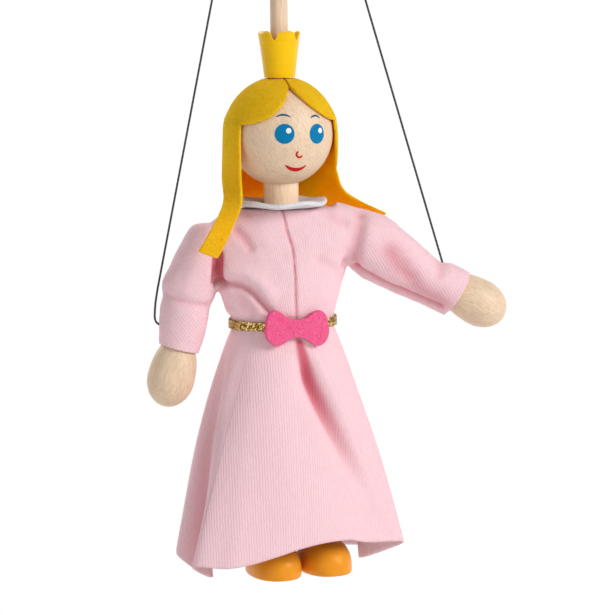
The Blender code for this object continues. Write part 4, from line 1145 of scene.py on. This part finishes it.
class PUPPET_OT_bodice(bpy.types.Operator):
    """The dress above the belt with its two sleeves, in two halves that meet at the middle seam"""
    bl_idname = "puppet.bodice"
    bl_label = "Bodice and sleeves"

    def execute(self, context):
        dress = context.scene.puppet_dress
        knit = jersey("bodice_jersey", dress.colour, dress.groove_shade, dress.pitch)
        bm = self.volume()
        self.fold(bm)
        self.mark(bm)
        self.open(bm)
        for side, sign in SIDES.items():
            half = bm.copy()
            for vert in half.verts:
                vert.co.x += seam_drift(vert.co.z)
            bmesh.ops.bisect_plane(half, geom=half.verts[:] + half.edges[:] + half.faces[:], plane_co=(0, 0, 0),
                                   plane_no=(-sign, 0, 0), dist=SAME_PLACE, clear_outer=True)
            for vert in half.verts:
                vert.co.x -= seam_drift(vert.co.z)
            made = piece(f"bodice_{side}", half, knit, None,
                         [f"sleeve_{side}"] + (["dress_bodice"] if side == "left" else []), CLOTH_SHARP)
            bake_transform(made)
            thicken(made, dress.cloth, -1.0)
        bm.free()
        return DONE

    def volume(self):
        """Bodice and sleeves run together into one smooth skin."""
        low, tall = WAIST_Z, SHOULDER_TOP - WAIST_Z
        bm = bmesh.new()

        def body(u, v):
            share, right, left, b, power = through(BODICE, v)
            c, s = ring(u)
            a = left if c > 0 else right
            twist = Matrix.Rotation(-SHOULDER_TURN * min(1.0, max(0.0, share) / BODICE_TWIST), 3, "Z")
            return at(*(twist @ Vector((a * squarer(c, 2 / power), b * squarer(s, 2 / power), low + tall * share))))

        lay_grid(bm, 72, 48, body)
        for side in SIDES:
            def arm(u, v):
                reach, top, under, deep = through(SLEEVES[side], v)
                c, s = ring(u)
                fin = 0.0
                if side == "left":
                    fin = FIN_OUT * bell(turn_between(TWO_PI * u, FIN_TURN) / FIN_WIDTH) * smooth(reach / FIN_STARTS)
                return arm_point(side, reach, ((top if c > 0 else under) + fin) * c, (deep + fin) * s)

            lay_grid(bm, 96, 48, arm)
        close_up(bm, fill=True)
        rough = loose("rough", bm)
        item = rough.modifiers.new("skin", "REMESH")
        item.mode = "VOXEL"
        item.voxel_size = SKIN_VOXEL
        bake_modifiers(rough)
        bm = bmesh.new()
        bm.from_mesh(rough.data)
        bpy.data.objects.remove(rough, do_unlink=True)
        for _ in range(8):
            even_out(bm, 0.5)
        bm.normal_update()
        return bm

    def fold(self, bm):
        """Press the cloth's creases into the skin; 'deep' keeps how far a spot lies in a crease, which sets the
        painted shade there.
        """
        deep = bm.verts.layers.float.new("deep")
        lines = [([at(*p) for p in line], width, depth, red) for line, width, depth, red in CREASES]
        lines += [([arm_point(side, *p) for p in line], width, depth, red)
                  for side, line, width, depth, red in SLEEVE_CREASES]
        moves = {}
        for vert in bm.verts:
            push = 0.0
            for line, width, depth, red in lines:
                near = min(distance_along(vert, a, b) for a, b in zip(line, line[1:]))
                if near < 3 * width:
                    share = bell(near / width)
                    push -= depth * share
                    # painted shade: a crease's redness darkens the cloth in it
                    vert[deep] = max(vert[deep], red * share)
            push += sum(size * noise.noise(vert.co * scale) for size, scale in RUMPLES)
            moves[vert] = vert.normal * push
        for vert, move in moves.items():
            vert.co += move
        even_out(bm, 0.4)

    def mark(self, bm):
        """Keep the direction of the knit: the wales lean along the middle seam and slant across the sleeves."""
        wale = bm.verts.layers.float.new("wale")
        course = bm.verts.layers.float.new("course")
        for vert in bm.verts:
            side = "left" if vert.co.x > 0 else "right"
            pin, along, upper, _ = arm_axes(side)
            reach, rise = (vert.co - pin).dot(along), (vert.co - pin).dot(upper)
            share = between(vert.co.dot(sideways(side)), *KNIT_TURNS)
            height = vert.co.z - SOLES - SHOULDER_TOP
            slant = WALE_SLANT + WALE_ASIDE[side] * smooth(abs(vert.co.x) / WALE_SETTLES)
            lean = WALE_SLEEVE[side]
            sleeve = SHOULDER_X + reach * math.sin(lean) + rise * math.cos(lean)
            vert[wale] = (vert.co.x + slant * height) * (1 - share) + SIDES[side] * sleeve * share
            vert[course] = (vert.co.z - SOLES) * (1 - share) + rise * share

    def open(self, bm):
        """Cut the cuffs, the waist and the neck open."""
        for side in SIDES:
            pin, along, _, _ = arm_axes(side)
            out = sideways(side)
            cut_off(bm, faces_where(bm, lambda p: (p - pin).dot(along) > CUFF_FROM and p.dot(out) > CUFF_ASIDE),
                    pin + along * SLEEVE_END[side], along)
        cut_off(bm, faces_where(bm, lambda p: p.z < SOLES + WAIST_Z + CUT_NEAR and abs(p.x) < WAIST_WIDE),
                at(0, 0, WAIST_Z + 0.0002), -UP)
        neck = faces_where(bm, lambda p: p.xy.length < NECK_R + 0.001 and p.z > SOLES + SHOULDER_TOP - CUT_NEAR)
        bmesh.ops.delete(bm, geom=neck, context="FACES")


def even_out(bm, factor):
    bmesh.ops.smooth_vert(bm, verts=bm.verts, factor=factor, use_axis_x=True, use_axis_y=True, use_axis_z=True)


def faces_where(bm, wanted):
    return [face for face in bm.faces if wanted(face.calc_center_median())]


def cut_off(bm, faces, point, away):
    """Cut faces along a plane and drop what lies beyond it."""
    verts = list({v for f in faces for v in f.verts})
    edges = list({e for f in faces for e in f.edges})
    bmesh.ops.bisect_plane(bm, geom=verts + edges + faces, plane_co=point, plane_no=away, dist=SAME_PLACE,
                           clear_outer=True)


def distance_along(vert, a, b):
    """How far a vertex is from a line laid near the skin, counted along the skin."""
    along = b - a
    t = max(0.0, min(1.0, (vert.co - a).dot(along) / along.length_squared))
    away = a + along * t - vert.co
    off = away.dot(vert.normal)
    return away.length if abs(off) > NEAR_SKIN else (away - vert.normal * off).length


# The hem, once round from the front: across, front to back and above the soles
HEM = (
    (-0.0036, -0.0265, 0.0129), (0.0064, -0.0250, 0.0141), (0.0160, -0.0220, 0.0136), (0.0245, -0.0175, 0.0111),
    (0.0420, -0.0080, 0.0076), (0.0290, 0.0020, 0.0012), (0.0350, 0.0120, 0.0030), (0.0200, 0.0230, 0.0020),
    (-0.0040, 0.0250, 0.0010), (-0.0260, 0.0210, 0.0020), (-0.0405, -0.0020, 0.0092), (-0.0318, -0.0072, 0.0012),
    (-0.0388, -0.0190, 0.0085), (-0.0300, -0.0252, 0.0082), (-0.0216, -0.0265, 0.0090), (-0.0112, -0.0270, 0.0112),
)
HEM_A, HEM_B = 0.042, 0.025
# Folds of the skirt: middle, lean with height, width, depth outwards, and how soon it starts
SKIRT_FOLDS = (
    (-math.pi / 2 + 0.22, 0.85, 0.09, 0.0016, 0), (-math.pi / 2 - 0.45, 0.30, 0.25, 0.0008, 0),
    (-0.25, 0.10, 0.45, 0.0006, 0), (-math.pi, 0.0, 0.60, 0.0030, 0),
    (-3.04, 0.32, 0.11, -0.0022, 0.30), (-2.72, 0.30, 0.14, 0.0012, 0.30), (-0.30, 0.10, 0.14, -0.0012, 0.5),
    (1.20, 0.1, 0.2, -0.0014, 0.6), (2.10, -0.1, 0.2, -0.0012, 0.6),
)
# The pleat under the bow: its turn, lean and curve, and from belt to hem where it deepens and where it flattens out
PLEAT_TURN, PLEAT_LEAN, PLEAT_CURVE = -math.pi / 2 + 0.01, 1.02, 1.25
PLEAT_DEEP, PLEAT_STEEP, PLEAT_WIDE = 0.0044, 0.11, 0.15
PLEAT_IN, PLEAT_OUT = (0.08, 0.25), (0.20, 0.95)
# Painted shade in the bottom of the pleat, a deeper red
PLEAT_SHADE_WIDE, PLEAT_SHADE_ASIDE, PLEAT_SHADE_WIDENS = 0.10, 0.03, (-0.09, 0.13)
PLEAT_SHADE_IN, PLEAT_SHADE_OUT = (0.015, 0.045), (0.18, 0.78)
# Painted shade in the fold at the right side
SIDE_TURN, SIDE_LEAN, SIDE_WIDE = -3.10, 0.32, 0.13
SIDE_SHADE, SIDE_SHADE_IN = 0.36, (0.1, 0.6)
# On the right the hem's corners ease out upwards: the spacing of the spots averaged, how far from the middle it
# takes hold, and the power by which it comes in above the hem
HEM_EASE, HEM_EASED_BY, HEM_EASE_LATE = 0.035, 0.02, 1.7
SKIRT_TOP = WAIST_Z - 0.00015
SKIRT_BAND = 0.03       # share of the cloth that lies under the belt
SKIRT_BAND_Z = SKIRT_TOP - BELT_W / 2 - 0.0006
SKIRT_SWELL, SKIRT_RUMPLE = 0.0016, 0.0006
RUMPLES_ROUND, RUMPLES_DOWN = 2.2, 2.0      # how close together the skirt's rumples are
SKIRT_COLUMNS, SKIRT_ROWS = 208, 84


class PUPPET_OT_skirt(bpy.types.Operator):
    """The flared skirt with its side folds, raised front hem and one deep pleat"""
    bl_idname = "puppet.skirt"
    bl_label = "Skirt"

    def execute(self, context):
        dress = context.scene.puppet_dress
        knit = jersey("skirt_jersey", dress.colour, dress.groove_shade, dress.pitch)
        bm = bmesh.new()
        marks = [bm.verts.layers.float.new(name) for name in ("wale", "course", "deep")]
        lay_grid(bm, SKIRT_COLUMNS, SKIRT_ROWS, self.place)
        uv = bm.loops.layers.uv.verify()
        cells = {}
        for face in bm.faces:
            for loop in face.loops:
                u, v = loop[uv].uv
                cells[round(u * SKIRT_COLUMNS), round(v * SKIRT_ROWS)] = loop.vert
        self.mark(cells, *marks)
        close_up(bm)
        made = piece("skirt", bm, knit, "puppet", ["dress_skirt"], CLOTH_SHARP)
        thicken(made, dress.cloth, -1.0)
        return DONE

    def around(self, u, grow):
        """The hem's own outline, rounder the higher up it is followed, and the angle it is seen at."""
        hem = through(HEM, u, closed=True)
        plain = sum((through(HEM, (u + step * HEM_EASE) % 1.0, closed=True) for step in (-2, -1, 0, 1, 2)),
                    Vector((0, 0, 0))) / 5
        plain.z = hem.z
        hem = hem.lerp(plain, (1 - max(0.0, grow) ** HEM_EASE_LATE) * smooth(-hem.x / HEM_EASED_BY))
        return hem, math.atan2(hem.y / HEM_B, hem.x / HEM_A)

    def place(self, u, v):
        """A spot of the cloth: straight down under the belt, then spreading to the hem."""
        grow = (v - SKIRT_BAND) / (1 - SKIRT_BAND)
        hem, turn = self.around(u, grow)
        waist = Vector((WAIST_A * math.cos(turn), WAIST_B * math.sin(turn), SKIRT_BAND_Z))
        if grow < 0:
            waist.z = SKIRT_TOP + (SKIRT_BAND_Z - SKIRT_TOP) * v / SKIRT_BAND
            return at(*waist)
        point = waist.lerp(hem, grow)
        out = Vector((point.x, point.y, 0)).normalized()
        point += out * (SKIRT_SWELL * math.sin(math.pi * grow) + self.folds(turn, grow))
        return at(*point)

    def mark(self, cells, wale, course, deep):
        """Paint shade into the bottoms of the folds as a deeper red, and count the wales both ways from the middles
        of front and back.
        """
        for (column, row), vert in cells.items():
            grow = max(0.0, (row / SKIRT_ROWS - SKIRT_BAND) / (1 - SKIRT_BAND))
            _, turn = self.around(column / SKIRT_COLUMNS, grow)
            # painted shade: the pleat's bottom is darkened through 'deep'
            away = (self.from_pleat(turn, grow) - PLEAT_SHADE_ASIDE) / (PLEAT_SHADE_WIDE * between(grow, *PLEAT_SHADE_WIDENS))
            side = turn_between(turn, SIDE_TURN + SIDE_LEAN * grow) / SIDE_WIDE
            vert[deep] = between(grow, *PLEAT_SHADE_IN) * (1 - between(grow, *PLEAT_SHADE_OUT)) * bell(away ** 2)
            # painted shade of the fold at the right side
            vert[deep] += SIDE_SHADE * between(grow, *SIDE_SHADE_IN) * bell(side)
            vert[course] = vert.co.z
        quarter = SKIRT_COLUMNS // 4
        for row in range(SKIRT_ROWS + 1):
            for middle, step in ((0, 1), (4 * quarter, -1), (2 * quarter, -1), (2 * quarter, 1)):
                length = 0.0
                for here in range(middle + step, middle + step * (quarter + 1), step):
                    length += (cells[here, row].co - cells[here - step, row].co).length
                    cells[here, row][wale] = length

    def from_pleat(self, turn, grow):
        """The angle between a spot and the bottom of the pleat under the bow."""
        return turn_between(turn, PLEAT_TURN + PLEAT_LEAN * grow ** PLEAT_CURVE)

    def folds(self, turn, grow):
        """How far the cloth stands in or out of the plain cone."""
        swing = math.sin(math.pi * min(1.0, grow)) ** 0.6
        away = self.from_pleat(turn, grow)
        strength = between(grow, *PLEAT_IN) * (1 - between(grow, *PLEAT_OUT))
        total = -PLEAT_DEEP * strength * bell(away / (PLEAT_STEEP if away > 0 else PLEAT_WIDE))
        for middle, lean, width, depth, late in SKIRT_FOLDS:
            away = turn_between(turn, middle + lean * grow)
            share = swing if late == 0 else smooth(grow / late)
            total += depth * share * bell(away / width)
        spot = Vector((RUMPLES_ROUND * math.cos(turn), RUMPLES_ROUND * math.sin(turn), RUMPLES_DOWN * grow))
        return total + SKIRT_RUMPLE * smooth(grow * 3) * noise.noise(spot)


# Belt and bow

BELT_THICK = 0.0008
# painted shade in the braid's gaps
BELT_GAP_SHADE = (0.10, 0.06, 0.012)
BAND_THICK, BAND_HALF = BELT_THICK * 0.55, BELT_W * 0.42
TEETH = 84
TOOTH = (0.00085, BELT_W * 0.62, BELT_THICK * 0.75)
TOOTH_OUT, TOOTH_ASIDE = BELT_THICK * 0.62, BELT_W * 0.24
TOOTH_TILT = math.radians(50)
TOOTH_ROUND = 0.16
BOW_HALF_W, BOW_HALF_H, BOW_KNOT = 0.0117, 0.0062, 0.0030
# Half of the bow's outline, as shares of its half width and half height
BOW_LOOP = ((0.30, 0.60), (0.54, 0.92), (0.74, 0.98), (0.90, 0.74), (0.97, 0.25), (1.0, -0.25), (0.90, -0.74),
            (0.68, -1.0), (0.48, -0.90), (0.27, -0.64))
BOW_TILT = 0.05
BOW_THICK, BOW_CURL, BOW_LOW = 0.002, 0.0005, 0.0005
BOW_DARK, BOW_LIGHT = (0.80, 0.05, 0.18), (1.0, 0.25, 0.42)


class PUPPET_OT_belt(bpy.types.Operator):
    """The gold braid belt and the felt bow"""
    bl_idname = "puppet.belt"
    bl_label = "Belt and bow"

    def execute(self, context):
        self.belt(braid("gold_thread", context.scene.puppet_dress.gold, BELT_GAP_SHADE))
        self.bow(felt("bow_felt", context.scene.puppet_felt.bow, BOW_DARK, BOW_LIGHT))
        return DONE

    def belt(self, gold):
        """A flat band with two rows of slanting threads that meet in a herringbone."""
        corners = ((0, -BAND_HALF), (BAND_THICK, -BAND_HALF), (BAND_THICK, BAND_HALF), (0, BAND_HALF))
        bm = bmesh.new()

        def band(u, v):
            (out, rise), (c, s) = corners[round(v * 4) % 4], ring(u)
            return at((WAIST_A + CLEAR + out) * c, (WAIST_B + CLEAR + out) * s, WAIST_Z + rise)

        lay_grid(bm, 120, 4, band)
        bmesh.ops.remove_doubles(bm, verts=bm.verts, dist=SAME_PLACE)
        for c, s in (ring(i / TEETH) for i in range(TEETH)):
            normal = Vector((c / WAIST_A, s / WAIST_B, 0)).normalized()
            place = at(WAIST_A * c, WAIST_B * s, WAIST_Z) + normal * (CLEAR + TOOTH_OUT)
            facing = Matrix((UP.cross(normal), UP, normal)).transposed().to_4x4()
            for up in (-1, 1):
                made = bmesh.ops.create_cube(bm, size=1.0)["verts"]
                edges = list({e for v in made for e in v.link_edges})
                bevelled = bmesh.ops.bevel(bm, geom=edges, offset=TOOTH_ROUND, offset_type="OFFSET", segments=2,
                                           profile=0.5, affect="EDGES", material=-1)["verts"]
                lean = Matrix.Translation((0, up * TOOTH_ASIDE, 0)) @ Matrix.Rotation(up * TOOTH_TILT, 4, "Z")
                bmesh.ops.transform(bm, matrix=Matrix.Translation(place) @ facing @ lean
                                    @ Matrix.Diagonal((*TOOTH, 1.0)), verts=bevelled)
        bmesh.ops.recalc_face_normals(bm, faces=bm.faces)
        piece("braid_belt", bm, gold, "puppet", ["belt"])

    def bow(self, pink):
        """One flat piece of felt in the outline of a bow, its ends curled a little."""
        loop = [(x * BOW_HALF_W, z * BOW_HALF_H) for x, z in BOW_LOOP]
        outline = [(x, z - BOW_TILT * x, 0) for x, z in [(0, BOW_KNOT)] + loop + [(0, -BOW_KNOT)]]
        outline += [(-x, z + BOW_TILT * x, 0) for x, z in reversed(loop)]
        front = -(WAIST_B + 2 * CLEAR + BELT_THICK + BOW_THICK)

        def cap(u, v):
            edge = through(outline, u, closed=True) * v
            return at(edge.x, front + BOW_CURL * (edge.x / BOW_HALF_W) ** 2, WAIST_Z - BOW_LOW + edge.y)

        bm = bmesh.new()
        lay_grid(bm, 96, 12, cap)
        close_up(bm)
        face_towards(bm, next(iter(bm.faces)), Vector((0, -1, 0)))
        bow = piece("felt_bow", bm, pink, "puppet", ["bow"], FELT_SHARP)
        thicken(bow, BOW_THICK, -1.0)
        soften(bow)


# Hands and shoes

HAND_R, HAND_LONG, HAND_WIDEST = 0.0082, 0.024, 0.014
HAND_BACK = 0.016       # half length of the ellipse that the wrist's half is a part of
HAND_HOLE_R, HAND_HOLE_DEEP = 0.0024, 0.0083
SHOE_HALF_W, SHOE_HALF_L, SHOE_TALL = 0.009, 0.0135, 0.012
SHOE_EDGE = 0.0008
SHOE_HOLE_R, SHOE_HOLE_DEEP = 0.0043, 0.004
SHOE_DOME = 0.995       # share of its width at which the shoe starts to round over


class PUPPET_OT_hands(bpy.types.Operator):
    """The egg-shaped beech hands and the arms inside the sleeves"""
    bl_idname = "puppet.hands"
    bl_label = "Hands"

    def execute(self, context):
        wood = context.scene.puppet_wood
        profile = [(0, HAND_HOLE_DEEP), (HAND_HOLE_R, HAND_HOLE_DEEP), (HAND_HOLE_R, 0.0)]
        profile += [(HAND_R * math.sqrt(1 - ((HAND_WIDEST - t) / HAND_BACK) ** 2), t)
                    for t in (HAND_WIDEST * i / 22 for i in range(23))]
        profile += [(HAND_R * math.cos(a), HAND_WIDEST + (HAND_LONG - HAND_WIDEST) * math.sin(a))
                    for a in (math.pi / 2 * i / 20 for i in range(1, 20))] + [(0, HAND_LONG)]
        for side in SIDES:
            pin, along, upper, across = arm_axes(side)
            bm = bmesh.new()
            turn_profile(bm, profile, 72)
            pose = Matrix((upper, across, along)).transposed()
            if pose.determinant() < 0:
                pose = Matrix((upper, -across, along)).transposed()
            bmesh.ops.transform(bm, matrix=Matrix.Translation(pin + along * HAND_REACH) @ pose.to_4x4(),
                                verts=bm.verts)
            bmesh.ops.recalc_face_normals(bm, faces=bm.faces)
            tilt = along.to_track_quat("Z", "Y").inverted().to_euler()
            bare = beech(f"beech_hand_{side}", wood.beech, grain=(1, 1, 0.12), turn=tuple(tilt))
            piece(f"wooden_hand_{side}", bm, bare, f"arm_{side}_body", [f"hand_{side}"], sharp=50)
            finish_solids(bare, f"arm_{side}")
        return DONE


class PUPPET_OT_shoes(bpy.types.Operator):
    """The painted shoes"""
    bl_idname = "puppet.shoes"
    bl_label = "Shoes"

    def execute(self, context):
        wood = context.scene.puppet_wood
        orange = paint("shoe_paint", wood.shoes, roughness=0.33)
        edge, share = SHOE_EDGE, SHOE_EDGE / SHOE_HALF_W
        levels = [(1 - share, 0.0), (1 - 0.3 * share, edge * 0.3), (1, edge), (SHOE_DOME, edge * 3)]
        for a in (math.pi / 2 * k / 22 for k in range(1, 22)):
            scale = SHOE_DOME * math.cos(a) ** 0.8
            if scale * SHOE_HALF_W < SHOE_HOLE_R:
                break
            levels.append((scale, edge * 3 + (SHOE_TALL - edge * 3) * math.sin(a)))
        last = len(levels) + 1
        for side, sign in SIDES.items():
            across = HIP_ASIDE + sign * HIP_X

            def place(u, v):
                """From the middle of the sole, up the outside and down into the leg's hole."""
                k = round(v * last)
                c, s = ring(u)
                if k == 0:
                    return at(across, -HIP_FORWARD, 0)
                if k == last:
                    return at(across + SHOE_HOLE_R * c, -HIP_FORWARD + SHOE_HOLE_R * s, SHOE_TALL - SHOE_HOLE_DEEP)
                scale, z = levels[k - 1]
                return at(across + SHOE_HALF_W * scale * squarer(c, 0.85),
                          -HIP_FORWARD + SHOE_HALF_L * scale * squarer(s, 0.9), z)

            bm = bmesh.new()
            lay_grid(bm, 72, last, place)
            close_up(bm, fill=True)
            piece(f"painted_shoe_{side}", bm, orange, f"leg_{side}_body", [f"shoe_{side}"], sharp=50)
        return DONE


class PUPPET_OT_inside(bpy.types.Operator):
    """Finishes of the wooden and wire pieces inside the dress"""
    bl_idname = "puppet.inside"
    bl_label = "Inside"

    def execute(self, context):
        wood = context.scene.puppet_wood
        finish_solids(beech("beech_inside", wood.beech, grain=(1, 1, 0.08)), "torso", "hip_tongue",
                      "leg_right", "leg_left")
        finish_solids(beech("beech_bar", wood.beech, grain=(0.08, 1, 1)), "shoulder_bar")
        finish_solids(wire("pin_wire"), "shoulder_pin_right", "shoulder_pin_left", "hip_pin")
        return DONE


class PUPPET_PT_panel(bpy.types.Panel):
    """The puppet's pieces, in the order in which they are made"""
    bl_idname = "PUPPET_PT_panel"
    bl_label = "Princess puppet"
    bl_space_type = "VIEW_3D"
    bl_region_type = "UI"
    bl_category = "Puppet"

    def draw(self, context):
        for name, group in GROUPS.items():
            for value in group.__annotations__:
                self.layout.prop(getattr(context.scene, name), value)
        for tool in PIECES:
            self.layout.operator(tool.bl_idname)


PIECES = (PUPPET_OT_stage, PUPPET_OT_strings, PUPPET_OT_head, PUPPET_OT_crown, PUPPET_OT_hair, PUPPET_OT_bodice,
          PUPPET_OT_collar, PUPPET_OT_skirt, PUPPET_OT_belt, PUPPET_OT_hands, PUPPET_OT_shoes, PUPPET_OT_inside)
GROUPS = {"puppet_wood": PuppetWood, "puppet_felt": PuppetFelt, "puppet_dress": PuppetDress,
          "puppet_strings": PuppetStrings, "puppet_view": PuppetView}


def register():
    for name, group in GROUPS.items():
        bpy.utils.register_class(group)
        setattr(bpy.types.Scene, name, PointerProperty(type=group))
    for tool in PIECES + (PUPPET_PT_panel,):
        bpy.utils.register_class(tool)


def unregister():
    for tool in reversed(PIECES + (PUPPET_PT_panel,)):
        bpy.utils.unregister_class(tool)
    for name, group in GROUPS.items():
        delattr(bpy.types.Scene, name)
        bpy.utils.unregister_class(group)


def main():
    register()
    for tool in PIECES:
        family, name = tool.bl_idname.split(".")
        getattr(getattr(bpy.ops, family), name)()


if __name__ == "__main__":
    main()
